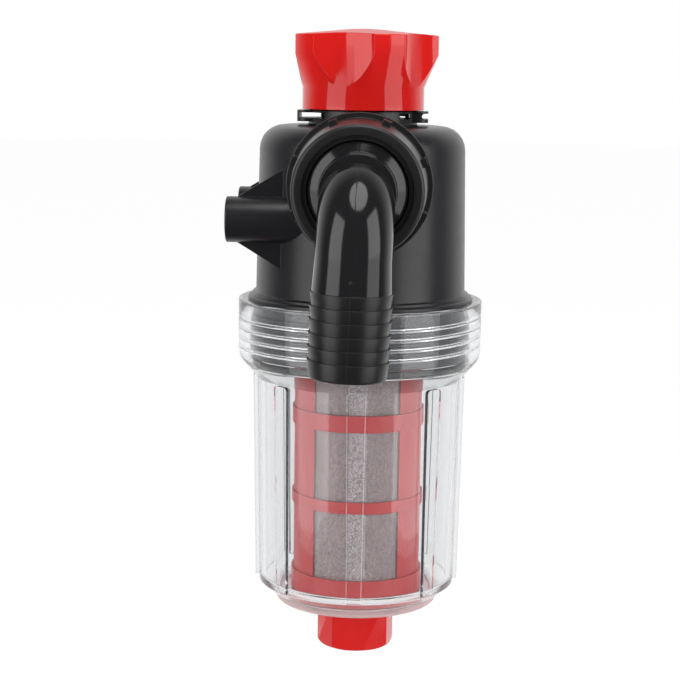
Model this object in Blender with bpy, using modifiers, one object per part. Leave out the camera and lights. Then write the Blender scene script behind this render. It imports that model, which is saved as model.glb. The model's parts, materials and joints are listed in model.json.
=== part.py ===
"""Inline strainer with a shut-off knob, modelled in Blender 4.5.

A sprayer or pump strainer: a black moulded head with an inlet in front and an
outlet behind, each with a ring nut and a barbed elbow, a red knob that turns a
drum valve, a clear bowl on a coarse screw thread, a red cartridge with a
stainless mesh, and an octagonal drain plug.

Metres, +Z up. The origin is the middle of the drain plug's bottom face, and
the bowl, cartridge, valve and knob all lie on the Z axis. The inlet faces -Y,
the outlet +Y, and the bracket bosses -X.
"""
import math

import bmesh
import bpy
from mathutils import Matrix, Vector

# Fits and facets
GAP = 0.0003
RUNNING_GAP = 0.0004
MERGE = 0.000001
WELD_DISTANCE = 0.00001
FLAT_ANGLE_DEG = 0.05
ROUND_STEPS = 28
SMALL_STEPS = 24
TUBE_STEPS = 20
TINY_STEPS = 12
BORE_STEPS = 12
SEAL_SIDES = 6
SHARP_ANGLE_DEG = 32.0

# Drain plug
PLUG_HEAD_HEIGHT = 0.0262
PLUG_CORNER_RADIUS = 0.0208
PLUG_CHAMFER = 0.0015
PLUG_TURN_DEG = 10.5
PLUG_STEM_RADIUS = 0.0122
PLUG_STEM_LENGTH = 0.0105
PLUG_BORE_RADIUS = 0.0085
PLUG_END_WALL = 0.0040
PLUG_SEAL_RADIUS = 0.0158
PLUG_SEAL_SECTION = 0.0012

# Bowl
BOWL_FLOOR = 0.0032
BOWL_FLOOR_MARGIN = 0.0049
BOWL_FOOT_HEIGHT = 0.0041
BOWL_BASE_RADIUS = 0.0525
BOWL_TOP_RADIUS = 0.0542
BOWL_BASE_RISE = 0.0102
BOWL_FOOT_SLOPE_WIDTH = 0.0044
BOWL_FOOT_SLOPE_RISE = 0.0020
BOWL_WALL = 0.0032
BOWL_SHOULDER_HEIGHT = 0.1215
BOWL_CHAMFER_HEIGHT = 0.0111
DRAIN_BOSS_WALL = 0.0042
DRAIN_BOSS_HEIGHT = 0.0080
RIB_COUNT = 8
RIB_TURN_DEG = 0.0
RIB_TOP_WIDTH = 0.0095
RIB_BASE_WIDTH = 0.0075
RIB_PROUD = 0.0020
RIB_ROOT = 0.0015
RIB_BASE_RISE = 0.0112
RIB_TOP_SINK = 0.0045

# Collar of the bowl and its coarse thread
COLLAR_STEP = 0.0102
COLLAR_HEIGHT = 0.0303
COLLAR_WALL = 0.0058
COLLAR_MOUTH_DEPTH = 0.0017
COLLAR_LIP = 0.0006
BOWL_LEDGE_DROP = 0.0021
BOWL_LEDGE_WIDTH = 0.0036
THREAD_PITCH = 0.0050
THREAD_DEPTH = 0.0016
THREAD_ROOT_WIDTH = 0.0022
THREAD_CREST_WIDTH = 0.0012
THREAD_ROOTED = 0.0009
COLLAR_THREAD_TURNS = 2.0
SPIGOT_THREAD_TURNS = 2.0
BOWL_SEAL_SECTION = 0.0015

# Cartridge
GASKET_THICKNESS = 0.0026
CARTRIDGE_HEIGHT = 0.1410
CARTRIDGE_RADIUS = 0.0352
CARTRIDGE_BAND = 0.0015
CARTRIDGE_LIP = 0.0034
CARTRIDGE_FOOT_HEIGHT = 0.0112
CARTRIDGE_CROWN_HEIGHT = 0.0080
CARTRIDGE_LIP_HEIGHT = 0.0022
HOOP_LOW_RISE = 0.0476
HOOP_LOW_HEIGHT = 0.0060
HOOP_HIGH_RISE = 0.0908
HOOP_HIGH_HEIGHT = 0.0088
POST_COUNT = 3
POST_TURN_DEG = 60.0
POST_SPREAD_DEG = 40.0
POST_SINK = 0.0004
MESH_THICKNESS = 0.0006
MESH_STRIPS = 24
MESH_GAP_ROWS = 4
MESH_GAP_SHARE = 0.62

# Head
HEAD_HEIGHT = 0.0888
HEAD_TOP_RADIUS = 0.0535
HEAD_BASE_RADIUS = 0.0552
HEAD_FILLET = 0.0125
HEAD_WALL = 0.0035
HEAD_ROOF = 0.0040
FLANGE_INSET = 0.0052
FLANGE_THICKNESS = 0.0036
FLANGE_STEP_WIDTH = 0.0021
FLANGE_STEP_HEIGHT = 0.0016
SPIGOT_WALL = 0.0035
SPIGOT_THREAD_GAP = 0.0006
SEAT_THICKNESS = 0.0040
CHAMBER_RADIUS = 0.0240
CHAMBER_WALL = 0.0034

# Neck, its ears and the retaining fork
NECK_RADIUS = 0.0284
NECK_HEIGHT = 0.0080
EAR_REACH = 0.0340
EAR_HALF_DEPTH = 0.0130
EAR_HEIGHT = 0.0057
EAR_TOP_STEP = 0.0003
EAR_CORNER = 0.0050
EAR_LIP = 0.0014
SLOT_RISE = 0.0038
SLOT_HEIGHT = 0.0028
FORK_THICKNESS = 0.0022
FORK_LEG_WIDTH = 0.0020
FORK_TIP_REACH = 0.0105
FORK_BRIDGE_GAP = 0.0008
FORK_BRIDGE_WIDTH = 0.0032
FORK_SPRING_ROOM = 0.0022
NOTCH_RADIUS = 0.0015
NOTCH_DEPTH = 0.0034
GROOVE_RADIUS = 0.0195

# Valve
BONNET_DEPTH = 0.0150
BONNET_BORE_RADIUS = 0.0064
BONNET_SEAL_RISE = 0.0035
BONNET_SEAL_SECTION = 0.0014
SEAL_GROOVE_ROOM = 0.0002
SPINDLE_RADIUS = 0.0060
SPINDLE_SQUARE = 0.0084
SPINDLE_SEAL_RISE = 0.0094
SPINDLE_SEAL_SECTION = 0.0010
SPINDLE_KNOB_LENGTH = 0.0220
DRUM_WALL = 0.0028
DRUM_TOP = 0.0032
DRUM_SKIRT = 0.0220
DRUM_HUB_RADIUS = 0.0095
DRUM_HUB_HEIGHT = 0.0090

# Knob
KNOB_CLEARANCE = 0.0004
KNOB_BASE_RADIUS = 0.03175
KNOB_BASE_HEIGHT = 0.0114
KNOB_CONE_HEIGHT = 0.0167
KNOB_LOBE_RADIUS = 0.0389
KNOB_LOBE_HEIGHT = 0.0100
KNOB_EDGE = 0.0012
KNOB_CROWN_RISE = 0.0020
KNOB_LOBES = 5
KNOB_TURN_DEG = 20.6
FLUTE_RADIUS = 0.0414
FLUTE_FLOOR_RADIUS = 0.0322
KNOB_WALL = 0.0036
KNOB_TOP_WALL = 0.0080
KNOB_HUB_RADIUS = 0.0100
CAP_RADIUS = 0.0162
CAP_THICKNESS = 0.0022
CAP_RECESS = 0.0014
CAP_CROWN = 0.0011
SCREW_RADIUS = 0.0022
SCREW_HEAD_RADIUS = 0.0045
SCREW_HEAD_HEIGHT = 0.0028
SCREW_LENGTH = 0.0150
SCREW_WELL_DEPTH = 0.0034

# Ports, the same in front and behind
PORT_RISE = 0.0611
PORT_BORE_RADIUS = 0.0150
PORT_DUCT_WALL = 0.0032
PORT_BOSS_RADIUS = 0.0312
PORT_BOSS_ROOT = 0.0420
PORT_BOSS_FACE = 0.0570
PORT_THREAD_RADIUS = 0.0295
PORT_FACE = 0.0840
PORT_SOCKET_RADIUS = 0.0203
PORT_SOCKET_DEPTH = 0.0140
NOSE_LENGTH = 0.0130
NOSE_SEAL_SETBACK = 0.0055
NOSE_SEAL_SECTION = 0.0014
ELBOW_FLANGE_RADIUS = 0.0272
ELBOW_FLANGE_THICKNESS = 0.0056

# Ring nuts
NUT_RIM_RADIUS = 0.0362
NUT_RIM_WIDTH = 0.0036
NUT_BARREL_RADIUS = 0.0334
NUT_FRONT_RADIUS = 0.0316
NUT_FRONT_ROUND = 0.0022
NUT_LIP_DEPTH = 0.0105
NUT_MOUTH_RADIUS = 0.0242
NUT_FACE_RADIUS = 0.0264
NUT_MOUTH_CHAMFER = 0.0025
NUT_RIB_COUNT = 8
NUT_RIB_TURN_DEG = 22.5
NUT_RIB_WIDTH = 0.0042
NUT_RIB_RADIUS = 0.0352
NUT_RIB_SETBACK = 0.0207

# Elbow hose tails
ELBOW_BEND_RADIUS = 0.0300
ELBOW_AXIS_REACH = 0.1200
ELBOW_TUBE_RADIUS = 0.0180
ELBOW_BORE_RADIUS = 0.0143
ELBOW_CONE_RADIUS = 0.0236
ELBOW_CONE_START = 0.0075
ELBOW_CONE_LENGTH = 0.0040
ELBOW_COLLAR_RADIUS = 0.0185
ELBOW_COLLAR_END = 0.1095
FRONT_ELBOW_TURN_DEG = -2.1
REAR_ELBOW_TURN_DEG = 0.0
TAIL_NECK_RADIUS = 0.0187
TAIL_NECK_LENGTH = 0.0145
BARB_COUNT = 6
BARB_PITCH = 0.0063
BARB_CREST_RADIUS = 0.0193
BARB_ROOT_RADIUS = 0.0184
TAIL_TIP_LENGTH = 0.0087
TAIL_TIP_ROUND = 0.0012
BARB_EDGE = 0.0002
BEND_SEGMENTS = 6

# Bracket bosses
BOSS_FACE_X = -0.0678
BOSS_SPREAD = 0.0360
BOSS_RISE = 0.0418
BOSS_RADIUS = 0.01165
BOSS_ROOT = 0.0200
INSERT_RADIUS = 0.0062
INSERT_LENGTH = 0.0140
INSERT_BORE_RADIUS = 0.0042
INSERT_RECESS = 0.0006
GUSSET_THICKNESS = 0.0030
GUSSET_RISE = 0.0146
GUSSET_TIP_SETBACK = 0.0042
GUSSET_TIP_SINK = 0.0010

# Radii and heights worked out from the sizes above
BOWL_FOOT_RADIUS = CARTRIDGE_RADIUS + BOWL_FLOOR_MARGIN + BOWL_WALL
SEAT_RADIUS = CARTRIDGE_RADIUS
COLLAR_RADIUS = BOWL_TOP_RADIUS + COLLAR_STEP
COLLAR_BORE_RADIUS = COLLAR_RADIUS - COLLAR_WALL
FLANGE_RADIUS = COLLAR_RADIUS - FLANGE_INSET
FLANGE_STEP_RADIUS = FLANGE_RADIUS - FLANGE_STEP_WIDTH
BOWL_BASE = PLUG_HEAD_HEIGHT + GAP
FLOOR_TOP = BOWL_BASE + BOWL_FLOOR
BOWL_SHOULDER = BOWL_BASE + BOWL_SHOULDER_HEIGHT
COLLAR_BASE = BOWL_SHOULDER + BOWL_CHAMFER_HEIGHT
COLLAR_TOP = COLLAR_BASE + COLLAR_HEIGHT
LEDGE_TOP = COLLAR_BASE - BOWL_LEDGE_DROP
FLANGE_BASE = COLLAR_TOP - COLLAR_MOUTH_DEPTH + GAP
SPIGOT_BASE = LEDGE_TOP + 2 * GAP + 2 * BOWL_SEAL_SECTION
SPIGOT_RADIUS = COLLAR_BORE_RADIUS - THREAD_DEPTH - SPIGOT_THREAD_GAP
FLANGE_TOP = FLANGE_BASE + FLANGE_THICKNESS
HEAD_TOP = FLANGE_TOP + HEAD_HEIGHT
ROOF_BASE = HEAD_TOP - HEAD_ROOF
NECK_TOP = HEAD_TOP + NECK_HEIGHT
PORT_Z = FLANGE_TOP + PORT_RISE
BOSS_Z = FLANGE_TOP + BOSS_RISE
CARTRIDGE_BASE = FLOOR_TOP + GASKET_THICKNESS + 2 * GAP
CARTRIDGE_TOP = CARTRIDGE_BASE + CARTRIDGE_HEIGHT
SEAT_Z = CARTRIDGE_TOP + GASKET_THICKNESS + 2 * GAP
EAR_BASE = NECK_TOP - EAR_TOP_STEP - EAR_HEIGHT
SLOT_BASE = HEAD_TOP + SLOT_RISE
FORK_BASE = SLOT_BASE + (SLOT_HEIGHT - FORK_THICKNESS) / 2
BONNET_TOP = NECK_TOP
BONNET_BASE = BONNET_TOP - BONNET_DEPTH
KNOB_BASE = NECK_TOP + KNOB_CLEARANCE
KNOB_CONE_BASE = KNOB_BASE + KNOB_BASE_HEIGHT
KNOB_LOBE_BASE = KNOB_CONE_BASE + KNOB_CONE_HEIGHT
KNOB_RIM = KNOB_LOBE_BASE + KNOB_LOBE_HEIGHT
KNOB_CROWN = KNOB_RIM + KNOB_CROWN_RISE
KNOB_CEILING = KNOB_RIM - KNOB_TOP_WALL
DRUM_RADIUS = CHAMBER_RADIUS - RUNNING_GAP
DRUM_CROWN = BONNET_BASE - RUNNING_GAP
DRUM_BASE = PORT_Z - DRUM_SKIRT
NOSE_RADIUS = PORT_SOCKET_RADIUS - GAP
ELBOW_FLANGE_BACK = PORT_FACE + GAP
ELBOW_FLANGE_FRONT = ELBOW_FLANGE_BACK + ELBOW_FLANGE_THICKNESS
NUT_BACK = PORT_BOSS_FACE + GAP
NUT_LIP_BACK = ELBOW_FLANGE_FRONT + GAP
NUT_FRONT = NUT_LIP_BACK + NUT_LIP_DEPTH
BEND_START = ELBOW_AXIS_REACH - ELBOW_BEND_RADIUS


def clear_scene():
    """Start from an empty file."""
    for item in list(bpy.data.objects):
        bpy.data.objects.remove(item, do_unlink=True)


def make_collection(name):
    """Return a collection linked to the scene."""
    group = bpy.data.collections.new(name)
    bpy.context.scene.collection.children.link(group)
    return group


def make_material(name, colour, roughness, metallic=0.0, alpha=1.0):
    """A plain Principled material."""
    material = bpy.data.materials.new(name)
    material.use_nodes = True
    shader = material.node_tree.nodes["Principled BSDF"]
    shader.inputs["Base Color"].default_value = (*colour, 1.0)
    shader.inputs["Roughness"].default_value = roughness
    shader.inputs["Metallic"].default_value = metallic
    shader.inputs["Alpha"].default_value = alpha
    return material


def add_piece(name, mesh, material):
    """A named piece of the strainer."""
    piece = bpy.data.objects.new(name, mesh)
    mesh.materials.clear()
    mesh.materials.append(material)
    PIECES.objects.link(piece)
    return piece


def add_tool(name, mesh):
    """A shape that only cuts or joins another."""
    tool = bpy.data.objects.new(name, mesh)
    TOOLS.objects.link(tool)
    tool.hide_render = True
    tool.display_type = "WIRE"
    return tool


def profile_mesh(name, points, closed):
    """A mesh of edges through (radius, height) points in the XZ plane."""
    outline = bmesh.new()
    verts = [outline.verts.new((x, 0.0, z)) for x, z in points]
    for first, second in zip(verts, verts[1:]):
        outline.edges.new((first, second))
    if closed:
        outline.edges.new((verts[-1], verts[0]))
    mesh = bpy.data.meshes.new(name)
    outline.to_mesh(mesh)
    outline.free()
    return mesh


def add_screw(item, steps):
    """Turn the profile about its own Z axis."""
    screw = item.modifiers.new("turned", "SCREW")
    screw.axis = "Z"
    screw.steps = steps
    screw.render_steps = steps
    screw.use_merge_vertices = True
    screw.merge_threshold = MERGE
    screw.use_smooth_shade = True
    return item


def turned_piece(name, points, material, steps=ROUND_STEPS, closed=True):
    """A piece turned from a profile that runs down its outer side."""
    return add_screw(add_piece(name, profile_mesh(name, points, closed), material), steps)


def turned_tool(name, points, steps=ROUND_STEPS, closed=False):
    """A turned shape for a Boolean."""
    return add_screw(add_tool(name, profile_mesh(name, points, closed)), steps)


def rod_profile(radius, low, high):
    """Profile of a plain cylinder from low to high."""
    return [(0.0, high), (radius, high), (radius, low), (0.0, low)]


def box_mesh(name, low, high):
    """A box between two corners."""
    shape = bmesh.new()
    bmesh.ops.create_cube(shape, size=1.0)
    size = Vector(high) - Vector(low)
    middle = (Vector(high) + Vector(low)) / 2
    bmesh.ops.scale(shape, vec=size, verts=shape.verts)
    bmesh.ops.translate(shape, vec=middle, verts=shape.verts)
    mesh = bpy.data.meshes.new(name)
    shape.to_mesh(mesh)
    shape.free()
    return mesh


def plate_mesh(name, outline, thickness):
    """A flat outline in the XY plane, half its thickness to each side."""
    curve = bpy.data.curves.new(name, "CURVE")
    curve.dimensions = "2D"
    curve.fill_mode = "BOTH"
    curve.extrude = thickness / 2
    spline = curve.splines.new("POLY")
    spline.points.add(len(outline) - 1)
    for point, (x, y) in zip(spline.points, outline):
        point.co = (x, y, 0.0, 1.0)
    spline.use_cyclic_u = True
    return curve_to_mesh(name, curve)


def tube_mesh(name, route, sides):
    """A round bar along a route of (place, radius) pairs."""
    curve = bpy.data.curves.new(name, "CURVE")
    curve.dimensions = "3D"
    curve.bevel_depth = route[0][1]
    curve.bevel_resolution = sides // 2 - 2
    curve.use_fill_caps = True
    spline = curve.splines.new("POLY")
    spline.points.add(len(route) - 1)
    for point, (place, radius) in zip(spline.points, route):
        point.co = (*place, 1.0)
        point.radius = radius / curve.bevel_depth
    return curve_to_mesh(name, curve)


def curve_to_mesh(name, curve):
    """Turn a curve into a welded mesh and drop the curve."""
    carrier = bpy.data.objects.new(name, curve)
    bpy.context.scene.collection.objects.link(carrier)
    bpy.context.view_layer.update()
    graph = bpy.context.evaluated_depsgraph_get()
    mesh = bpy.data.meshes.new_from_object(carrier.evaluated_get(graph))
    bpy.data.objects.remove(carrier, do_unlink=True)
    bpy.data.curves.remove(curve)
    weld = bmesh.new()
    weld.from_mesh(mesh)
    bmesh.ops.remove_doubles(weld, verts=weld.verts, dist=MERGE * 10)
    bmesh.ops.recalc_face_normals(weld, faces=weld.faces)
    weld.to_mesh(mesh)
    weld.free()
    mesh.name = name
    return mesh


def ring_mesh(name, major, minor, steps=TUBE_STEPS):
    """An O-ring about Z: a small circle turned with the Spin operator."""
    ring = bmesh.new()
    bmesh.ops.create_circle(ring, segments=SEAL_SIDES, radius=minor)
    bmesh.ops.rotate(ring, verts=ring.verts, cent=(0, 0, 0), matrix=Matrix.Rotation(math.pi / 2, 3, "X"))
    bmesh.ops.translate(ring, verts=ring.verts, vec=(major, 0, 0))
    bmesh.ops.spin(ring, geom=ring.verts[:] + ring.edges[:], cent=(0, 0, 0), axis=(0, 0, 1),
                   angle=2 * math.pi, steps=steps, use_merge=True)
    bmesh.ops.remove_doubles(ring, verts=ring.verts, dist=MERGE * 10)
    bmesh.ops.recalc_face_normals(ring, faces=ring.faces)
    mesh = bpy.data.meshes.new(name)
    ring.to_mesh(mesh)
    ring.free()
    return mesh


def helix_mesh(name, root, crest, base, turns):
    """A thread ridge: a trapezoid swept up a right-hand helix, its corners between the wall's."""
    ridge = bmesh.new()
    half_root = THREAD_ROOT_WIDTH / 2
    half_crest = THREAD_CREST_WIDTH / 2
    middle = base + half_root
    corners = [(root, middle - half_root), (crest, middle - half_crest),
               (crest, middle + half_crest), (root, middle + half_root)]
    verts = [ridge.verts.new((x, 0.0, z)) for x, z in corners]
    face = ridge.faces.new(verts)
    steps = round(turns * ROUND_STEPS)
    rise = THREAD_PITCH / ROUND_STEPS
    bmesh.ops.spin(ridge, geom=[face] + list(face.edges) + list(face.verts), cent=(0, 0, 0),
                   axis=(0, 0, 1), dvec=(0, 0, rise), angle=2 * math.pi * steps / ROUND_STEPS,
                   steps=steps, use_merge=False)
    half_step = Matrix.Rotation(math.pi / ROUND_STEPS, 3, "Z")
    bmesh.ops.rotate(ridge, verts=ridge.verts, cent=(0, 0, 0), matrix=half_step)
    bmesh.ops.recalc_face_normals(ridge, faces=ridge.faces)
    mesh = bpy.data.meshes.new(name)
    ridge.to_mesh(mesh)
    ridge.free()
    return mesh


def combine(target, tool, operation):
    """Join or cut with an exact Boolean."""
    change = target.modifiers.new(tool.name, "BOOLEAN")
    change.operation = operation
    change.solver = "EXACT"
    change.object = tool
    weld = target.modifiers.new(f"{tool.name}_weld", "WELD")
    weld.merge_threshold = WELD_DISTANCE


def join(target, tool):
    """Add a tool's shape to a piece."""
    combine(target, tool, "UNION")


def cut(target, tool):
    """Take a tool's shape out of a piece."""
    combine(target, tool, "DIFFERENCE")


def arc_points(centre, radius, start_deg, end_deg, count):
    """Points on an arc, both ends included."""
    points = []
    for index in range(count + 1):
        angle = math.radians(start_deg + (end_deg - start_deg) * index / count)
        points.append((centre[0] + radius * math.cos(angle), centre[1] + radius * math.sin(angle)))
    return points


def face_port(item, side, turn_deg=0.0):
    """Lay a turned shape on the port axis: its +Z points out of the port."""
    out = Matrix.Rotation(0.0 if side < 0 else math.pi, 4, "Z") @ Matrix.Rotation(math.pi / 2, 4, "X")
    item.matrix_world = (Matrix.Translation((0.0, 0.0, PORT_Z)) @ out
                         @ Matrix.Rotation(math.radians(turn_deg), 4, "Z"))
    return item


def head_outer_profile():
    """Outside of the head, from the neck's top down to the spigot."""
    shoulder = arc_points((HEAD_TOP_RADIUS - HEAD_FILLET, HEAD_TOP - HEAD_FILLET),
                          HEAD_FILLET, 90.0, 0.0, 4)
    step_top = FLANGE_TOP + FLANGE_STEP_HEIGHT
    return ([(0.0, NECK_TOP), (NECK_RADIUS, NECK_TOP), (NECK_RADIUS, HEAD_TOP)] + shoulder
            + [(HEAD_BASE_RADIUS, step_top), (FLANGE_STEP_RADIUS, step_top),
               (FLANGE_STEP_RADIUS, FLANGE_TOP), (FLANGE_RADIUS, FLANGE_TOP),
               (FLANGE_RADIUS, FLANGE_BASE), (SPIGOT_RADIUS, FLANGE_BASE),
               (SPIGOT_RADIUS, SPIGOT_BASE), (0.0, SPIGOT_BASE)])


def head_cavity_profile():
    """Inside of the head: valve chamber, cartridge seat and clean side."""
    over = NECK_TOP + 0.001
    under = SPIGOT_BASE - 0.001
    chamber_out = CHAMBER_RADIUS + CHAMBER_WALL
    seat_top = SEAT_Z + SEAT_THICKNESS
    spigot_in = SPIGOT_RADIUS - SPIGOT_WALL
    return [(0.0, over), (CHAMBER_RADIUS, over), (CHAMBER_RADIUS, SEAT_Z), (SEAT_RADIUS, SEAT_Z),
            (SEAT_RADIUS, seat_top), (chamber_out, seat_top + SEAT_RADIUS - chamber_out),
            (chamber_out, ROOF_BASE), (HEAD_TOP_RADIUS - HEAD_FILLET, ROOF_BASE),
            (HEAD_TOP_RADIUS - HEAD_WALL, HEAD_TOP - HEAD_FILLET),
            (HEAD_BASE_RADIUS - HEAD_WALL, FLANGE_TOP), (spigot_in, FLANGE_BASE),
            (spigot_in, under), (0.0, under)]


def gusset_mesh(name, rise):
    """A triangular web between a bracket boss and the head's wall."""
    wall_x = -math.sqrt(HEAD_TOP_RADIUS ** 2 - BOSS_SPREAD ** 2) + HEAD_WALL / 2
    sign = 1.0 if rise > 0 else -1.0
    root = sign * BOSS_RADIUS / 2
    tip_x = BOSS_FACE_X + GUSSET_TIP_SETBACK
    outline = [(tip_x, root), (wall_x, root), (wall_x, sign * BOSS_RADIUS + rise),
               (tip_x, sign * (BOSS_RADIUS - GUSSET_TIP_SINK))]
    return plate_mesh(name, outline, GUSSET_THICKNESS)


def add_bracket_bosses(head):
    """Two bosses with upper and lower gussets, to the left of the ports."""
    for side, label in ((-1, "front"), (1, "rear")):
        boss = turned_tool(f"boss_{label}", rod_profile(BOSS_RADIUS, BOSS_ROOT, -BOSS_FACE_X), SMALL_STEPS)
        boss.location = (0.0, side * BOSS_SPREAD, BOSS_Z)
        boss.rotation_euler = (0.0, -math.pi / 2, 0.0)
        join(head, boss)
        for rise, place in ((GUSSET_RISE, "upper"), (-GUSSET_RISE, "lower")):
            name = f"gusset_{label}_{place}"
            web = add_tool(name, gusset_mesh(name, rise))
            web.location = (0.0, side * BOSS_SPREAD, BOSS_Z)
            web.rotation_euler = (math.pi / 2, 0.0, 0.0)
            join(head, web)


def add_ports(head):
    """Threaded port stubs outside the wall."""
    for side, label in ((-1, "inlet"), (1, "outlet")):
        stub = turned_tool(f"{label}_stub", [
            (0.0, PORT_FACE), (PORT_THREAD_RADIUS, PORT_FACE), (PORT_THREAD_RADIUS, PORT_BOSS_FACE),
            (PORT_BOSS_RADIUS, PORT_BOSS_FACE), (PORT_BOSS_RADIUS, PORT_BOSS_ROOT), (0.0, PORT_BOSS_ROOT)])
        join(head, face_port(stub, side))


def bore_ports(head):
    """Ducts through the ports, with the elbow's socket at the mouth."""
    for side, label, start in ((-1, "inlet", CHAMBER_RADIUS - CHAMBER_WALL),
                               (1, "outlet", CHAMBER_RADIUS + CHAMBER_WALL + 0.004)):
        floor = PORT_FACE - PORT_SOCKET_DEPTH
        bore = turned_tool(f"{label}_bore", [
            (0.0, PORT_FACE + 0.001), (PORT_SOCKET_RADIUS, PORT_FACE + 0.001),
            (PORT_SOCKET_RADIUS, floor), (PORT_BORE_RADIUS, floor), (PORT_BORE_RADIUS, start), (0.0, start)],
            SMALL_STEPS)
        cut(head, face_port(bore, side))


def add_inlet_duct(head):
    """Tube from the inlet to the valve chamber, across the clean side."""
    duct = turned_tool("inlet_duct", rod_profile(
        PORT_BORE_RADIUS + PORT_DUCT_WALL, CHAMBER_RADIUS + CHAMBER_WALL / 2, HEAD_TOP_RADIUS - HEAD_WALL / 2),
        SMALL_STEPS)
    join(head, face_port(duct, -1))


def ear_outline():
    """Ears of the neck seen from above: a bar with rounded corners."""
    x = EAR_REACH - EAR_CORNER
    y = EAR_HALF_DEPTH - EAR_CORNER
    points = []
    for centre, start in (((x, y), 0.0), ((-x, y), 90.0), ((-x, -y), 180.0), ((x, -y), 270.0)):
        points += arc_points(centre, EAR_CORNER, start, start + 90.0, 3)
    return points


def add_ears(head):
    """Ears that guide the retaining fork."""
    ears = add_tool("ears", plate_mesh("ears", ear_outline(), EAR_HEIGHT))
    ears.location = (0.0, 0.0, EAR_BASE + EAR_HEIGHT / 2)
    join(head, ears)


def cut_fork_slots(head):
    """Slots for the fork's legs, and the notch in the closed ear."""
    depth = 2 * NECK_RADIUS
    slot_top = SLOT_BASE + SLOT_HEIGHT
    open_slot = add_tool("slot_open_ear", box_mesh(
        "slot_open_ear", (EAR_LIP - EAR_REACH, -depth, SLOT_BASE), (-GROOVE_RADIUS + GAP, depth, slot_top)))
    cut(head, open_slot)
    leg_room = GROOVE_RADIUS + FORK_SPRING_ROOM + 2 * GAP + FORK_LEG_WIDTH
    closed_slot = add_tool("slot_closed_ear", box_mesh(
        "slot_closed_ear", (GROOVE_RADIUS - GAP, -depth, SLOT_BASE), (leg_room, depth, slot_top)))
    cut(head, closed_slot)
    floor_x = EAR_REACH - NOTCH_DEPTH + NOTCH_RADIUS
    middle = SLOT_BASE + SLOT_HEIGHT / 2
    outline = (arc_points((floor_x, middle), NOTCH_RADIUS, 270.0, 90.0, 6)
               + [(EAR_REACH + 0.001, middle + NOTCH_RADIUS), (EAR_REACH + 0.001, middle - NOTCH_RADIUS)])
    notch = add_tool("ear_notch", plate_mesh("ear_notch", outline, 4 * EAR_HALF_DEPTH))
    notch.rotation_euler = (math.pi / 2, 0.0, 0.0)
    cut(head, notch)


def cut_insert_holes(head):
    """Blind holes for the threaded inserts in the bracket bosses."""
    for side, label in ((-1, "front"), (1, "rear")):
        length = INSERT_LENGTH + INSERT_RECESS + 2 * GAP
        hole = turned_tool(f"insert_hole_{label}", rod_profile(
            INSERT_RADIUS + GAP, -BOSS_FACE_X - length, -BOSS_FACE_X + 0.001), TINY_STEPS)
        hole.location = (0.0, side * BOSS_SPREAD, BOSS_Z)
        hole.rotation_euler = (0.0, -math.pi / 2, 0.0)
        cut(head, hole)


def make_head(material):
    """Head housing, moulded in one piece."""
    head = turned_piece("head_housing", head_outer_profile(), material, closed=False)
    add_bracket_bosses(head)
    add_ports(head)
    add_ears(head)
    cut(head, turned_tool("head_cavity", head_cavity_profile()))
    add_inlet_duct(head)
    bore_ports(head)
    cut_fork_slots(head)
    cut_insert_holes(head)
    thread = add_tool("spigot_thread", helix_mesh(
        "spigot_thread", SPIGOT_RADIUS - THREAD_ROOTED, SPIGOT_RADIUS + THREAD_DEPTH,
        SPIGOT_BASE + THREAD_ROOT_WIDTH, SPIGOT_THREAD_TURNS))
    join(head, thread)
    return head


def make_inserts(material):
    """Threaded inserts in the bracket bosses."""
    for side, label in ((-1, "front"), (1, "rear")):
        outer = -BOSS_FACE_X - INSERT_RECESS
        inner = outer - INSERT_LENGTH
        insert = turned_piece(f"boss_insert_{label}", [
            (INSERT_RADIUS, outer), (INSERT_RADIUS, inner), (INSERT_BORE_RADIUS, inner),
            (INSERT_BORE_RADIUS, outer)], material, TINY_STEPS)
        insert.location = (0.0, side * BOSS_SPREAD, BOSS_Z)
        insert.rotation_euler = (0.0, -math.pi / 2, 0.0)


def make_bonnet(material):
    """Plug in the neck that carries the spindle and both of its seals."""
    outer = CHAMBER_RADIUS - GAP
    groove_low = FORK_BASE - GAP
    groove_high = FORK_BASE + FORK_THICKNESS + GAP
    seal = BONNET_BASE + BONNET_SEAL_RISE
    seal_half = BONNET_SEAL_SECTION + SEAL_GROOVE_ROOM
    seal_floor = outer - 2 * BONNET_SEAL_SECTION
    gland = BONNET_BASE + SPINDLE_SEAL_RISE
    gland_half = SPINDLE_SEAL_SECTION + SEAL_GROOVE_ROOM
    gland_wall = SPINDLE_RADIUS + 2 * SPINDLE_SEAL_SECTION + 2 * GAP
    return turned_piece("valve_bonnet", [
        (outer, BONNET_TOP), (outer, groove_high), (GROOVE_RADIUS - GAP, groove_high),
        (GROOVE_RADIUS - GAP, groove_low), (outer, groove_low), (outer, seal + seal_half),
        (seal_floor, seal + seal_half), (seal_floor, seal - seal_half), (outer, seal - seal_half),
        (outer, BONNET_BASE), (BONNET_BORE_RADIUS, BONNET_BASE), (BONNET_BORE_RADIUS, gland - gland_half),
        (gland_wall, gland - gland_half), (gland_wall, gland + gland_half),
        (BONNET_BORE_RADIUS, gland + gland_half), (BONNET_BORE_RADIUS, BONNET_TOP)], material, TUBE_STEPS)


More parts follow.
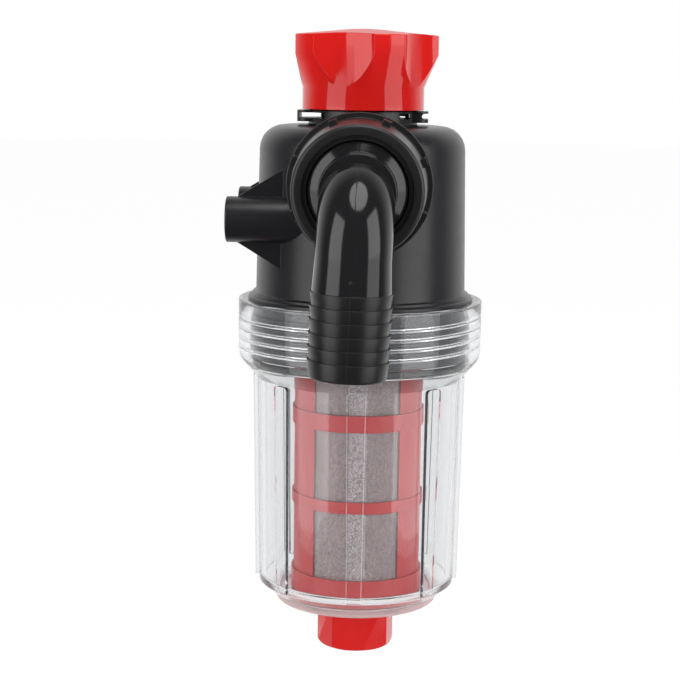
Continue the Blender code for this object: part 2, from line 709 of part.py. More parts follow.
def make_valve_seals(material):
    """O-rings round the bonnet and round the spindle."""
    section = BONNET_SEAL_SECTION - GAP / 2
    major = CHAMBER_RADIUS - GAP - BONNET_SEAL_SECTION
    seal = add_piece("bonnet_oring", ring_mesh("bonnet_oring", major, section), material)
    seal.location = (0.0, 0.0, BONNET_BASE + BONNET_SEAL_RISE)
    gland = SPINDLE_RADIUS + GAP + SPINDLE_SEAL_SECTION
    ring = add_piece("spindle_oring", ring_mesh("spindle_oring", gland, SPINDLE_SEAL_SECTION, TINY_STEPS), material)
    ring.location = (0.0, 0.0, BONNET_BASE + SPINDLE_SEAL_RISE)


def make_fork(material):
    """U-shaped fork that holds the bonnet in the neck; it draws out to the rear."""
    left_in = -GROOVE_RADIUS
    right_in = GROOVE_RADIUS + FORK_SPRING_ROOM + GAP
    bridge_in = NECK_RADIUS + FORK_BRIDGE_GAP
    bridge_out = bridge_in + FORK_BRIDGE_WIDTH
    outline = [(left_in - FORK_LEG_WIDTH, bridge_out), (left_in - FORK_LEG_WIDTH, -FORK_TIP_REACH),
               (left_in, -FORK_TIP_REACH), (left_in, bridge_in), (right_in, bridge_in),
               (right_in, -FORK_TIP_REACH), (right_in + FORK_LEG_WIDTH, -FORK_TIP_REACH),
               (right_in + FORK_LEG_WIDTH, bridge_out)]
    fork = add_piece("retaining_fork", plate_mesh("retaining_fork", outline, FORK_THICKNESS), material)
    fork.location = (0.0, 0.0, FORK_BASE + FORK_THICKNESS / 2)
    return fork


def make_spindle(material, pivot):
    """Spindle with a square at each end, for the drum and the knob."""
    top = KNOB_BASE + SPINDLE_KNOB_LENGTH
    foot = DRUM_CROWN - DRUM_HUB_HEIGHT
    spindle = turned_piece("valve_spindle", rod_profile(
        SPINDLE_RADIUS, DRUM_CROWN + RUNNING_GAP, BONNET_TOP + RUNNING_GAP), material, SMALL_STEPS, closed=False)
    half = SPINDLE_SQUARE / 2
    bar = add_tool("spindle_square", box_mesh("spindle_square", (-half, -half, foot), (half, half, top)))
    join(spindle, bar)
    hole = turned_tool("spindle_screw_hole", rod_profile(
        SCREW_RADIUS + GAP, KNOB_CROWN - SCREW_WELL_DEPTH - SCREW_HEAD_HEIGHT - SCREW_LENGTH - 0.001,
        top + 0.001), TINY_STEPS)
    cut(spindle, hole)
    spindle.parent = pivot
    return spindle


def make_drum(material, pivot):
    """Drum gate: an open window at rest, a blank wall after a quarter turn."""
    inner = DRUM_RADIUS - DRUM_WALL
    ceiling = DRUM_CROWN - DRUM_TOP
    drum = turned_piece("valve_gate", [
        (0.0, DRUM_CROWN), (DRUM_RADIUS, DRUM_CROWN), (DRUM_RADIUS, DRUM_BASE), (inner, DRUM_BASE),
        (inner, ceiling), (DRUM_HUB_RADIUS, ceiling), (DRUM_HUB_RADIUS, DRUM_CROWN - DRUM_HUB_HEIGHT),
        (0.0, DRUM_CROWN - DRUM_HUB_HEIGHT)], material, SMALL_STEPS, closed=False)
    window = turned_tool("gate_window", rod_profile(PORT_BORE_RADIUS, CHAMBER_RADIUS / 2, CHAMBER_RADIUS + 0.001),
                         SMALL_STEPS)
    cut(drum, face_port(window, -1))
    half = SPINDLE_SQUARE / 2 + GAP
    square = add_tool("gate_square", box_mesh(
        "gate_square", (-half, -half, DRUM_CROWN - DRUM_HUB_HEIGHT - 0.001), (half, half, DRUM_CROWN + 0.001)))
    cut(drum, square)
    drum.parent = pivot
    return drum


def knob_profile():
    """Knob outside, from the well in its crown down to its skirt."""
    edge = arc_points((KNOB_LOBE_RADIUS - KNOB_EDGE, KNOB_RIM - KNOB_EDGE), KNOB_EDGE, 90.0, 0.0, 2)
    return ([(0.0, KNOB_CROWN - CAP_RECESS), (CAP_RADIUS + GAP, KNOB_CROWN - CAP_RECESS),
             (CAP_RADIUS + GAP, KNOB_CROWN)] + edge
            + [(KNOB_LOBE_RADIUS, KNOB_LOBE_BASE), (KNOB_BASE_RADIUS, KNOB_CONE_BASE),
               (KNOB_BASE_RADIUS, KNOB_BASE), (0.0, KNOB_BASE)])


def make_knob(material, pivot):
    """Five-lobed knob, hollow below, with a square hub."""
    knob = turned_piece("shutoff_knob", knob_profile(), material, closed=False)
    reach = FLUTE_FLOOR_RADIUS + FLUTE_RADIUS
    for index in range(KNOB_LOBES):
        angle = math.radians(-90.0 + KNOB_TURN_DEG + 360.0 * (index + 0.5) / KNOB_LOBES)
        flute = turned_tool(f"knob_flute_{index}", rod_profile(
            FLUTE_RADIUS, KNOB_BASE - 0.001, KNOB_CROWN + 0.001))
        flute.location = (reach * math.cos(angle), reach * math.sin(angle), 0.0)
        cut(knob, flute)
    skirt = KNOB_BASE_RADIUS - KNOB_WALL
    well = turned_tool("knob_hollow", [
        (skirt, KNOB_CEILING), (skirt, KNOB_BASE - 0.001), (KNOB_HUB_RADIUS, KNOB_BASE - 0.001),
        (KNOB_HUB_RADIUS, KNOB_CEILING)], SMALL_STEPS, closed=True)
    cut(knob, well)
    half = SPINDLE_SQUARE / 2 + GAP
    square = add_tool("knob_square", box_mesh(
        "knob_square", (-half, -half, KNOB_BASE - 0.001), (half, half, KNOB_BASE + SPINDLE_KNOB_LENGTH + GAP)))
    cut(knob, square)
    well_floor = KNOB_CROWN - SCREW_WELL_DEPTH - SCREW_HEAD_HEIGHT
    screw_well = turned_tool("knob_screw_well", [
        (0.0, KNOB_CROWN), (SCREW_HEAD_RADIUS + GAP, KNOB_CROWN), (SCREW_HEAD_RADIUS + GAP, well_floor),
        (SCREW_RADIUS + GAP, well_floor), (SCREW_RADIUS + GAP, KNOB_BASE + SPINDLE_KNOB_LENGTH / 2),
        (0.0, KNOB_BASE + SPINDLE_KNOB_LENGTH / 2)], TINY_STEPS)
    cut(knob, screw_well)
    knob.parent = pivot
    return knob


def make_knob_cap(material, pivot):
    """Domed cap over the knob's screw."""
    base = KNOB_CROWN - CAP_RECESS + GAP
    top = base + CAP_THICKNESS
    cap = turned_piece("knob_cap", [
        (0.0, top), (CAP_RADIUS * 0.6, top - CAP_CROWN * 0.3), (CAP_RADIUS, top - CAP_CROWN),
        (CAP_RADIUS, base), (0.0, base)], material, SMALL_STEPS, closed=False)
    cap.parent = pivot
    return cap


def make_knob_screw(material, pivot):
    """Screw through the knob into the spindle."""
    top = KNOB_CROWN - SCREW_WELL_DEPTH
    under = top - SCREW_HEAD_HEIGHT + GAP
    screw = turned_piece("knob_screw", [
        (0.0, top), (SCREW_HEAD_RADIUS, top), (SCREW_HEAD_RADIUS, under), (SCREW_RADIUS, under),
        (SCREW_RADIUS, under - SCREW_LENGTH), (0.0, under - SCREW_LENGTH)], material, TINY_STEPS, closed=False)
    screw.parent = pivot
    return screw


def nut_profile():
    """Ring nut along the port axis, distances from the head's axis."""
    front = arc_points((NUT_FRONT_RADIUS - NUT_FRONT_ROUND, NUT_FRONT - NUT_FRONT_ROUND),
                       NUT_FRONT_ROUND, 90.0, 0.0, 2)
    bore = PORT_THREAD_RADIUS + RUNNING_GAP
    return (front + [(NUT_BARREL_RADIUS, NUT_BACK + NUT_RIM_WIDTH), (NUT_RIM_RADIUS, NUT_BACK + NUT_RIM_WIDTH),
                     (NUT_RIM_RADIUS, NUT_BACK), (bore, NUT_BACK), (bore, NUT_LIP_BACK),
                     (NUT_MOUTH_RADIUS, NUT_LIP_BACK), (NUT_MOUTH_RADIUS, NUT_FRONT - NUT_MOUTH_CHAMFER),
                     (NUT_FACE_RADIUS, NUT_FRONT)])


def make_ring_nut(name, material, side):
    """Ring nut with a rear rim and grip ribs."""
    nut = turned_piece(name, nut_profile(), material, SMALL_STEPS)
    face_port(nut, side)
    ribs = bmesh.new()
    low = NUT_BACK + NUT_RIM_WIDTH / 2
    high = NUT_FRONT - NUT_RIB_SETBACK
    for index in range(NUT_RIB_COUNT):
        block = bmesh.ops.create_cube(ribs, size=1.0)["verts"]
        inner = NUT_FRONT_RADIUS - 0.001
        size = (NUT_RIB_RADIUS - inner, NUT_RIB_WIDTH, high - low)
        bmesh.ops.scale(ribs, vec=size, verts=block)
        bmesh.ops.translate(ribs, vec=((NUT_RIB_RADIUS + inner) / 2, 0.0, (high + low) / 2), verts=block)
        turn = math.radians(NUT_RIB_TURN_DEG + 360.0 * index / NUT_RIB_COUNT)
        bmesh.ops.rotate(ribs, verts=block, cent=(0, 0, 0), matrix=Matrix.Rotation(turn, 3, "Z"))
    mesh = bpy.data.meshes.new(f"{name}_ribs")
    ribs.to_mesh(mesh)
    ribs.free()
    join(nut, face_port(add_tool(f"{name}_ribs", mesh), side))
    return nut


def elbow_body_profile():
    """Nose, flange, cone and collar of the elbow along the port axis."""
    nose_tip = ELBOW_FLANGE_BACK - NOSE_LENGTH
    seal = ELBOW_FLANGE_BACK - NOSE_SEAL_SETBACK
    half = NOSE_SEAL_SECTION + SEAL_GROOVE_ROOM
    groove = NOSE_RADIUS - 2 * NOSE_SEAL_SECTION
    cone_low = ELBOW_FLANGE_FRONT + ELBOW_CONE_START
    return [(0.0, ELBOW_COLLAR_END), (ELBOW_COLLAR_RADIUS, ELBOW_COLLAR_END),
            (ELBOW_COLLAR_RADIUS, cone_low + ELBOW_CONE_LENGTH), (ELBOW_CONE_RADIUS, cone_low),
            (ELBOW_CONE_RADIUS, ELBOW_FLANGE_FRONT), (ELBOW_FLANGE_RADIUS, ELBOW_FLANGE_FRONT),
            (ELBOW_FLANGE_RADIUS, ELBOW_FLANGE_BACK), (NOSE_RADIUS, ELBOW_FLANGE_BACK),
            (NOSE_RADIUS, seal + half), (groove, seal + half), (groove, seal - half),
            (NOSE_RADIUS, seal - half), (NOSE_RADIUS, nose_tip), (0.0, nose_tip)]


def bend_route(start, radius):
    """Centre line from inside the cone, out of the port and round the bend."""
    route = [((0.0, 0.0, start), radius)]
    centre = (-ELBOW_BEND_RADIUS, BEND_START)
    for down, out in arc_points(centre, ELBOW_BEND_RADIUS, 0.0, 90.0, BEND_SEGMENTS):
        route.append(((0.0, down, out), radius))
    return route


def tail_length():
    """Length of the hose tail from the bend's end to its tip."""
    return TAIL_NECK_LENGTH + (BARB_COUNT - 1) * BARB_PITCH + TAIL_TIP_LENGTH


def tail_route():
    """Bend, neck and barbs as one centre line with a radius at each point."""
    route = bend_route(ELBOW_FLANGE_BACK + GAP, ELBOW_TUBE_RADIUS)
    first = -ELBOW_BEND_RADIUS - TAIL_NECK_LENGTH
    sections = [(first + BARB_EDGE, TAIL_NECK_RADIUS)]
    for index in range(BARB_COUNT):
        crest = first - index * BARB_PITCH
        sections.append((crest, BARB_CREST_RADIUS))
        if index < BARB_COUNT - 1:
            sections.append((crest - BARB_PITCH + BARB_EDGE, BARB_ROOT_RADIUS))
    tip = -ELBOW_BEND_RADIUS - tail_length()
    sections += [(tip + TAIL_TIP_ROUND, BARB_ROOT_RADIUS), (tip, BARB_ROOT_RADIUS - TAIL_TIP_ROUND)]
    return route + [((0.0, down, ELBOW_AXIS_REACH), radius) for down, radius in sections]


def make_elbow(name, material, side, turn_deg):
    """Barbed elbow that swivels in its ring nut."""
    elbow = turned_piece(name, elbow_body_profile(), material, TUBE_STEPS, closed=False)
    face_port(elbow, side, turn_deg)
    tail = add_tool(f"{name}_tail", tube_mesh(f"{name}_tail", tail_route(), TUBE_STEPS))
    join(elbow, face_port(tail, side, turn_deg))
    route = bend_route(ELBOW_FLANGE_BACK - NOSE_LENGTH - 0.002, ELBOW_BORE_RADIUS)
    mouth = -ELBOW_BEND_RADIUS - tail_length() - 0.002
    route.append(((0.0, mouth, ELBOW_AXIS_REACH), ELBOW_BORE_RADIUS))
    bore = add_tool(f"{name}_bore", tube_mesh(f"{name}_bore", route, BORE_STEPS))
    cut(elbow, face_port(bore, side, turn_deg))
    return elbow


def make_nose_seal(name, material, side):
    """O-ring round the elbow's nose, in its groove."""
    major = NOSE_RADIUS - NOSE_SEAL_SECTION + GAP / 2
    seal = add_piece(name, ring_mesh(name, major, NOSE_SEAL_SECTION - GAP / 2), material)
    face_port(seal, side)
    seal.matrix_world = seal.matrix_world @ Matrix.Translation((0.0, 0.0, ELBOW_FLANGE_BACK - NOSE_SEAL_SETBACK))
    return seal


def bowl_profile():
    """Bowl with its collar, floor and drain boss."""
    mouth = FLANGE_RADIUS + 2 * GAP
    mouth_floor = COLLAR_TOP - COLLAR_MOUTH_DEPTH
    base = BOWL_BASE + BOWL_BASE_RISE
    foot_top = BOWL_BASE + BOWL_FOOT_HEIGHT
    hole = PLUG_STEM_RADIUS + GAP
    boss = hole + DRAIN_BOSS_WALL
    floor_reach = BOWL_FOOT_RADIUS - BOWL_WALL
    return [(COLLAR_RADIUS - COLLAR_LIP, COLLAR_TOP), (COLLAR_RADIUS, COLLAR_TOP - COLLAR_LIP),
            (COLLAR_RADIUS, COLLAR_BASE), (BOWL_TOP_RADIUS, BOWL_SHOULDER), (BOWL_BASE_RADIUS, base),
            (BOWL_FOOT_RADIUS + BOWL_FOOT_SLOPE_WIDTH, foot_top + BOWL_FOOT_SLOPE_RISE), (BOWL_FOOT_RADIUS, foot_top),
            (BOWL_FOOT_RADIUS, BOWL_BASE), (hole, BOWL_BASE), (hole, FLOOR_TOP + DRAIN_BOSS_HEIGHT),
            (boss, FLOOR_TOP + DRAIN_BOSS_HEIGHT), (boss, FLOOR_TOP), (floor_reach, FLOOR_TOP),
            (BOWL_BASE_RADIUS - BOWL_WALL, base + BOWL_WALL), (BOWL_TOP_RADIUS - BOWL_WALL, BOWL_SHOULDER),
            (COLLAR_BORE_RADIUS - BOWL_LEDGE_WIDTH, LEDGE_TOP), (COLLAR_BORE_RADIUS, LEDGE_TOP),
            (COLLAR_BORE_RADIUS, mouth_floor), (mouth, mouth_floor), (mouth, COLLAR_TOP)]


def rib_mesh(name):
    """One tapered rib, flat in front, upright at the origin."""
    height = BOWL_SHOULDER + RIB_TOP_SINK - BOWL_BASE - RIB_BASE_RISE
    outline = [(-RIB_TOP_WIDTH / 2, height), (-RIB_BASE_WIDTH / 2, 0.0),
               (RIB_BASE_WIDTH / 2, 0.0), (RIB_TOP_WIDTH / 2, height)]
    return plate_mesh(name, outline, RIB_PROUD + RIB_ROOT)


def add_ribs(bowl):
    """Ribs round the bowl that follow the draft of its wall."""
    height = BOWL_SHOULDER - BOWL_BASE - RIB_BASE_RISE
    draft = math.atan((BOWL_TOP_RADIUS - BOWL_BASE_RADIUS) / height)
    centre = BOWL_BASE_RADIUS + RIB_PROUD - (RIB_PROUD + RIB_ROOT) / 2
    for index in range(RIB_COUNT):
        rib = add_tool(f"bowl_rib_{index}", rib_mesh(f"bowl_rib_{index}"))
        turn = math.radians(RIB_TURN_DEG + 360.0 * index / RIB_COUNT)
        rib.matrix_world = (Matrix.Rotation(turn, 4, "Z") @ Matrix.Translation((0, -centre, BOWL_BASE + RIB_BASE_RISE))
                            @ Matrix.Rotation(math.pi / 2 + draft, 4, "X"))
        join(bowl, rib)


def make_bowl(material):
    """Clear bowl with its internal coarse thread."""
    bowl = turned_piece("bowl", bowl_profile(), material)
    add_ribs(bowl)
    start = SPIGOT_BASE + THREAD_ROOT_WIDTH - THREAD_PITCH / 2
    thread = add_tool("collar_thread", helix_mesh(
        "collar_thread", COLLAR_BORE_RADIUS + THREAD_ROOTED, COLLAR_BORE_RADIUS - THREAD_DEPTH,
        start, COLLAR_THREAD_TURNS))
    join(bowl, thread)
    return bowl


def make_bowl_seal(material):
    """O-ring between the bowl's ledge and the spigot's end."""
    major = SPIGOT_RADIUS - SPIGOT_WALL / 2 + GAP
    seal = add_piece("bowl_oring", ring_mesh("bowl_oring", major, BOWL_SEAL_SECTION, SMALL_STEPS), material)
    seal.location = (0.0, 0.0, LEDGE_TOP + GAP + BOWL_SEAL_SECTION)
    return seal


def make_cartridge_frame(material):
    """Cartridge frame: a cage of hoops and posts with windows between."""
    band_in = CARTRIDGE_RADIUS - CARTRIDGE_BAND
    lip_in = band_in - CARTRIDGE_LIP
    foot_top = CARTRIDGE_BASE + CARTRIDGE_FOOT_HEIGHT
    crown_base = CARTRIDGE_TOP - CARTRIDGE_CROWN_HEIGHT
    post_out = CARTRIDGE_RADIUS - POST_SINK
    outside = [(CARTRIDGE_RADIUS, CARTRIDGE_TOP), (CARTRIDGE_RADIUS, crown_base)]
    for rise, height in ((HOOP_HIGH_RISE, HOOP_HIGH_HEIGHT), (HOOP_LOW_RISE, HOOP_LOW_HEIGHT)):
        low = CARTRIDGE_BASE + rise
        outside += [(post_out, outside[-1][1]), (post_out, low + height),
                    (CARTRIDGE_RADIUS, low + height), (CARTRIDGE_RADIUS, low)]
    outside += [(post_out, outside[-1][1]), (post_out, foot_top), (CARTRIDGE_RADIUS, foot_top)]
    frame = turned_piece("cartridge_frame", outside + [
        (CARTRIDGE_RADIUS, CARTRIDGE_BASE),
        (lip_in, CARTRIDGE_BASE), (lip_in, CARTRIDGE_BASE + CARTRIDGE_LIP_HEIGHT),
        (band_in, CARTRIDGE_BASE + CARTRIDGE_LIP_HEIGHT), (band_in, CARTRIDGE_TOP - CARTRIDGE_LIP_HEIGHT),
        (lip_in, CARTRIDGE_TOP - CARTRIDGE_LIP_HEIGHT), (lip_in, CARTRIDGE_TOP)], material)
    levels = [foot_top, CARTRIDGE_BASE + HOOP_LOW_RISE, CARTRIDGE_BASE + HOOP_LOW_RISE + HOOP_LOW_HEIGHT,
              CARTRIDGE_BASE + HOOP_HIGH_RISE, CARTRIDGE_BASE + HOOP_HIGH_RISE + HOOP_HIGH_HEIGHT, crown_base]
    for row in range(3):
        for index in range(POST_COUNT):
            cut(frame, window_tool(f"window_{row}_{index}", index, levels[2 * row], levels[2 * row + 1]))
    return frame


def window_tool(name, index, low, high):
    """A wedge between two posts that opens one window of the cage."""
    pitch = 360.0 / POST_COUNT
    start = -90.0 + POST_TURN_DEG + index * pitch + POST_SPREAD_DEG / 2
    end = start + pitch - POST_SPREAD_DEG
    inner = CARTRIDGE_RADIUS / 2
    reach = CARTRIDGE_RADIUS * 1.5
    outline = arc_points((0, 0), reach, start, end, 6) + arc_points((0, 0), inner, end, start, 6)
    tool = add_tool(name, plate_mesh(name, outline, high - low))
    tool.location = (0.0, 0.0, (low + high) / 2)
    return tool


def make_cartridge_mesh(material):
    """Mesh sleeve: one wall with rows of gaps, thickened by Solidify."""
    radius = CARTRIDGE_RADIUS - CARTRIDGE_BAND - GAP
    low = CARTRIDGE_BASE + CARTRIDGE_LIP_HEIGHT + GAP
    high = CARTRIDGE_TOP - CARTRIDGE_LIP_HEIGHT - GAP
    pitch = (high - low) / MESH_GAP_ROWS
    gap = pitch * MESH_GAP_SHARE
    heights = [low]
    for row in range(MESH_GAP_ROWS):
        start = low + row * pitch + (pitch - gap) / 2
        heights += [start, start + gap]
    heights.append(high)
    wall = bmesh.new()
    rings = []
    for height in heights:
        ring = bmesh.ops.create_circle(wall, segments=MESH_STRIPS, radius=radius,
                                       matrix=Matrix.Translation((0.0, 0.0, height)))["verts"]
        rings.append(ring)
    for level, (lower, upper) in enumerate(zip(rings, rings[1:])):
        for strip in range(MESH_STRIPS):
            if level % 2 == 1 and strip % 2 == 1:
                continue
            following = (strip + 1) % MESH_STRIPS
            wall.faces.new((lower[strip], lower[following], upper[following], upper[strip]))
    bmesh.ops.recalc_face_normals(wall, faces=wall.faces)
    mesh = bpy.data.meshes.new("cartridge_mesh")
    wall.to_mesh(mesh)
    wall.free()
    sleeve = add_piece("cartridge_mesh", mesh, material)
    thick = sleeve.modifiers.new("thickness", "SOLIDIFY")
    thick.thickness = MESH_THICKNESS
    thick.offset = -1.0
    return sleeve


def make_gaskets(material):
    """Flat gaskets above and below the cartridge."""
    outer = CARTRIDGE_RADIUS - GAP
    inner = CARTRIDGE_RADIUS - CARTRIDGE_BAND - CARTRIDGE_LIP
    for name, low in (("cartridge_gasket_low", FLOOR_TOP + GAP), ("cartridge_gasket_high", CARTRIDGE_TOP + GAP)):
        high = low + GASKET_THICKNESS
        turned_piece(name, [(outer, high), (outer, low), (inner, low), (inner, high)], material, SMALL_STEPS)


def make_drain_plug(material):
    """Octagonal plug with a hollow stem."""
    plug = turned_piece("drain_plug", [
        (0.0, PLUG_HEAD_HEIGHT), (PLUG_CORNER_RADIUS, PLUG_HEAD_HEIGHT), (PLUG_CORNER_RADIUS, PLUG_CHAMFER),
        (PLUG_CORNER_RADIUS - PLUG_CHAMFER, 0.0), (0.0, 0.0)], material, 8, closed=False)
    plug.modifiers["turned"].use_smooth_shade = False
    plug.rotation_euler = (0.0, 0.0, math.radians(-90.0 + PLUG_TURN_DEG))
    top = PLUG_HEAD_HEIGHT + PLUG_STEM_LENGTH
    join(plug, turned_tool("plug_stem", rod_profile(PLUG_STEM_RADIUS, PLUG_HEAD_HEIGHT - 0.002, top), SMALL_STEPS))
    groove = PLUG_SEAL_SECTION + GAP
    low = PLUG_HEAD_HEIGHT - 2 * PLUG_SEAL_SECTION - GAP / 2
    cut(plug, turned_tool("plug_seal_groove", [
        (PLUG_SEAL_RADIUS + groove, PLUG_HEAD_HEIGHT + 0.001), (PLUG_SEAL_RADIUS + groove, low),
        (PLUG_SEAL_RADIUS - groove, low), (PLUG_SEAL_RADIUS - groove, PLUG_HEAD_HEIGHT + 0.001)],
        SMALL_STEPS, closed=True))
    cut(plug, turned_tool("plug_hollow", rod_profile(PLUG_BORE_RADIUS, PLUG_END_WALL, top + 0.001), TINY_STEPS))
    return plug


def make_plug_seal(material):
    """O-ring in the drain plug's face."""
    seal = add_piece("drain_oring", ring_mesh("drain_oring", PLUG_SEAL_RADIUS, PLUG_SEAL_SECTION), material)
    seal.location = (0.0, 0.0, PLUG_HEAD_HEIGHT - PLUG_SEAL_SECTION + GAP / 4)
    return seal


def build():
    """Make every piece."""
    black = make_material("black_plastic", (0.030, 0.029, 0.033), 0.42)
    gloss_black = make_material("gloss_black_plastic", (0.012, 0.012, 0.013), 0.14)
    red = make_material("red_plastic", (0.73, 0.016, 0.015), 0.22)
    frame_red = make_material("cartridge_red", (0.60, 0.025, 0.028), 0.40)
    clear = make_material("clear_plastic", (0.93, 0.95, 0.96), 0.06, alpha=0.30)
    steel = make_material("stainless_mesh", (0.55, 0.53, 0.51), 0.35, metallic=1.0)
    brass = make_material("brass", (0.72, 0.50, 0.22), 0.30, metallic=1.0)
    rubber = make_material("rubber", (0.018, 0.018, 0.018), 0.65)
    pivot = bpy.data.objects.new("knob_pivot", None)
    PIECES.objects.link(pivot)
    make_head(black)
    make_inserts(brass)
    make_bonnet(black)
    make_valve_seals(rubber)
    make_fork(black)
    make_spindle(brass, pivot)
    make_drum(black, pivot)
    make_knob(red, pivot)
    make_knob_cap(red, pivot)
    make_knob_screw(steel, pivot)
    for side, label, turn in ((-1, "front", FRONT_ELBOW_TURN_DEG), (1, "rear", REAR_ELBOW_TURN_DEG)):
        make_ring_nut(f"{label}_ring_nut", black, side)
        make_elbow(f"{label}_elbow", gloss_black, side, turn)
        make_nose_seal(f"{label}_nose_oring", rubber, side)
    make_bowl(clear)
    make_bowl_seal(rubber)
    make_cartridge_frame(frame_red)
    make_cartridge_mesh(steel)
    make_gaskets(rubber)
    make_drain_plug(red)
    make_plug_seal(rubber)


def finish_pieces():
    """Apply each piece's modifiers and shade it smooth up to its sharp edges."""
    for piece in PIECES.objects:
        if piece.type == "MESH":
            tidy = piece.modifiers.new("flat_faces", "DECIMATE")
            tidy.decimate_type = "DISSOLVE"
            tidy.angle_limit = math.radians(FLAT_ANGLE_DEG)
    bpy.context.view_layer.update()
    graph = bpy.context.evaluated_depsgraph_get()
    finished = []
    for piece in PIECES.objects:
        if piece.type == "MESH":
            finished.append((piece, bpy.data.meshes.new_from_object(piece.evaluated_get(graph))))
    for piece, mesh in finished:
        piece.modifiers.clear()
        piece.data = mesh
        mesh.name = piece.name
        mesh.shade_smooth()
        mesh.set_sharp_from_angle(angle=math.radians(SHARP_ANGLE_DEG))


clear_scene()
PIECES = make_collection("inline_strainer")
TOOLS = make_collection("cutters")
build()
finish_pieces()
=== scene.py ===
"""Looks of the inline strainer: fine surfaces, finishes, camera and studio light.

Metres, +Z up, in the frame's own coordinates: the Z axis is the axis of the
bowl and the valve, -Y is the inlet side that faces the camera, and -X is the
bracket side.
"""

import json
import math

import bmesh
import bpy
from mathutils import Matrix, Vector


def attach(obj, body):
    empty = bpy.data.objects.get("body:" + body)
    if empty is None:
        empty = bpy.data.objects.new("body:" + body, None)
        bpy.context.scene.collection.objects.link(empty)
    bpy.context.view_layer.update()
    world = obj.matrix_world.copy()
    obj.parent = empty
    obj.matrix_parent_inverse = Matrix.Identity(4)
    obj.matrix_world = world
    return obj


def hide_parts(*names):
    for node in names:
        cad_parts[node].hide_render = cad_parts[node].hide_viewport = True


# Facets of the fine surfaces
ROUND_STEPS = 160
SMALL_STEPS = 96
TINY_STEPS = 48
FILLET_STEPS = 6
RING_SIDES = 16
FLUTE_STEPS = 256
SLEEVE_STEPS = 120
SEAM_STEPS = 12
WINDOW_STEPS = 40
EAR_STEPS = 12
NOTCH_STEPS = 16
FLOOR_STEPS = 128
BEND_SEGMENTS = 32
MERGE = 0.000001
JOIN_DISTANCE = 0.00001
WELD_DISTANCE = 0.000005
SHARP_ANGLE_DEG = 28.0

# Gaps between pieces, and how far a tool reaches past what it cuts
GAP = 0.0003
RUNNING_GAP = 0.0004
OVERSHOOT = 0.001

# Camera, in the photograph's frame of 680 by 680 pixels
PHOTO_PIXELS = 680
FOCAL_PIXELS = 1700.0
SENSOR_MM = 36.0
CAMERA_DISTANCE = 0.895
CAMERA_HEIGHT = 0.3112
CAMERA_SHIFT_LEFT = 0.0104
CAMERA_AZIMUTH_DEG = 1.8
CAMERA_PITCH_DEG = 9.18
CAMERA_ROLL_DEG = 0.79
CAMERA_CLIP = (0.01, 50.0)

# Studio
AMBIENT = 0.45
FRONT_DARK = 0.05
FRONT_SEEN_THROUGH = 0.60
FLOOR_RADIUS = 4.0
FLOOR_FRONT = 0.95
FLOOR_DROP = 0.0290
FLOOR_GLOW = 1.06
FLOOR_GLOW_SHARE = 0.88
FLOOR_COLOUR = (0.92, 0.92, 0.92, 1.0)
FLOOR_ROUGHNESS = 0.9
DARK_QUARTER = (0.05, 0.75)
SOFTBOX_DISTANCE = 1.3
SOFTBOX_SIDES = (("left", -51.5, 0.90), ("right", 60.4, 0.87))
SOFTBOX_ROWS = (("low", -0.105, 0.59, 1.8), ("high", 0.74, 1.10, 2.6))
OVERHEAD_PLACE = (0.15, -0.46, 1.35)
OVERHEAD_SIZE = (0.92, 0.86)
OVERHEAD_RADIANCE = 3.4

# Finishes; scales are in features a metre
CLOUD_SCALE = 55.0
WAVE_SCALE = 70.0
SMEAR_SCALE = 240.0
GRAIN_SCALE = 2600.0
PLAIN_RANGE = (0.3, 0.7)
PLASTIC_IOR = 1.5
BEVEL_SAMPLES = 6
TAIL_EXTRA_ROUGHNESS = 0.22
TAIL_FADE = (-0.0002, 0.0004)
TOP_EXTRA_ROUGHNESS = 0.26
TOP_FACING = (0.70, 0.95)
CLEAR_TINT = (0.88, 0.888, 0.898, 1.0)
CLEAR_SHADOW_TINT = (0.93, 0.94, 0.95, 1.0)
CLEAR_TRANSMISSION = 0.988
CLEAR_IOR = 1.47
CLEAR_CLOUD_SCALE = 130.0
CLEAR_ROUGHNESS = (0.015, 0.05)
CLEAR_WAVE_SCALE = 45.0
CLEAR_WAVE_DEPTH = 0.00004
CLEAR_EDGE = 0.0005
# Painted light on the clear bowl: a diffuse grey on the edges stands in for the light lines that refraction
# draws there, and a diffuse red on the floor stands in for the red cartridge seen through it
CLEAR_EDGE_FACING = (0.80, 0.985)
CLEAR_EDGE_PAINT_SHARE = 0.80
CLEAR_FLOOR_PAINT_SHARE = 0.50
CLEAR_EDGE_PAINTED_GREY = (0.78, 0.79, 0.82)
CLEAR_FLOOR_PAINTED_RED = (0.80, 0.58, 0.58)
WEAVE_METALLIC = 0.35
WEAVE_ROUGHNESS = (0.22, 0.55)
WEAVE_DEPTH = 0.00012
WEAVE_SHADE = 0.55
BLOTCH_SCALE = 90.0
BLOTCH_STRETCH = (1.0, 1.0, 0.25)
BLOTCH_SHADE = 0.35
# Painted glints: bright specks in the weave's colour stand in for highlights on the wires
GLINT_SCALE = 1300.0
GLINT_DARKEST = -0.14
GLINT_FULL = 0.64
METAL_CLOUD_SCALE = 180.0
METAL_LINE_SCALE = 900.0
METAL_LINE_DEPTH = 0.00003
METAL_EDGE = 0.0002
PARTING_WIDTH = 0.00025
PARTING_HEIGHT = 0.00006
GATE_MARK = (0.0, -0.0380, 0.1380)
GATE_RADIUS = 0.0012
GATE_HEIGHT = 0.0006
GATE_SCALE = 1800.0

# Drain plug
PLUG_HEAD_HEIGHT = 0.0262
PLUG_SIDES = 8
PLUG_CORNER_RADIUS = 0.0208
PLUG_CORNER_ROUND = 0.0012
PLUG_FOOT_ROUND = 0.0034
PLUG_TURN_DEG = 10.5
PLUG_STEM_RADIUS = 0.0122
PLUG_STEM_LENGTH = 0.0105
PLUG_SEAL_RADIUS = 0.0158
PLUG_SEAL_SECTION = 0.0012
PLUG_HOLLOW_RADIUS = 0.0085
PLUG_HOLLOW_FLOOR = 0.0040

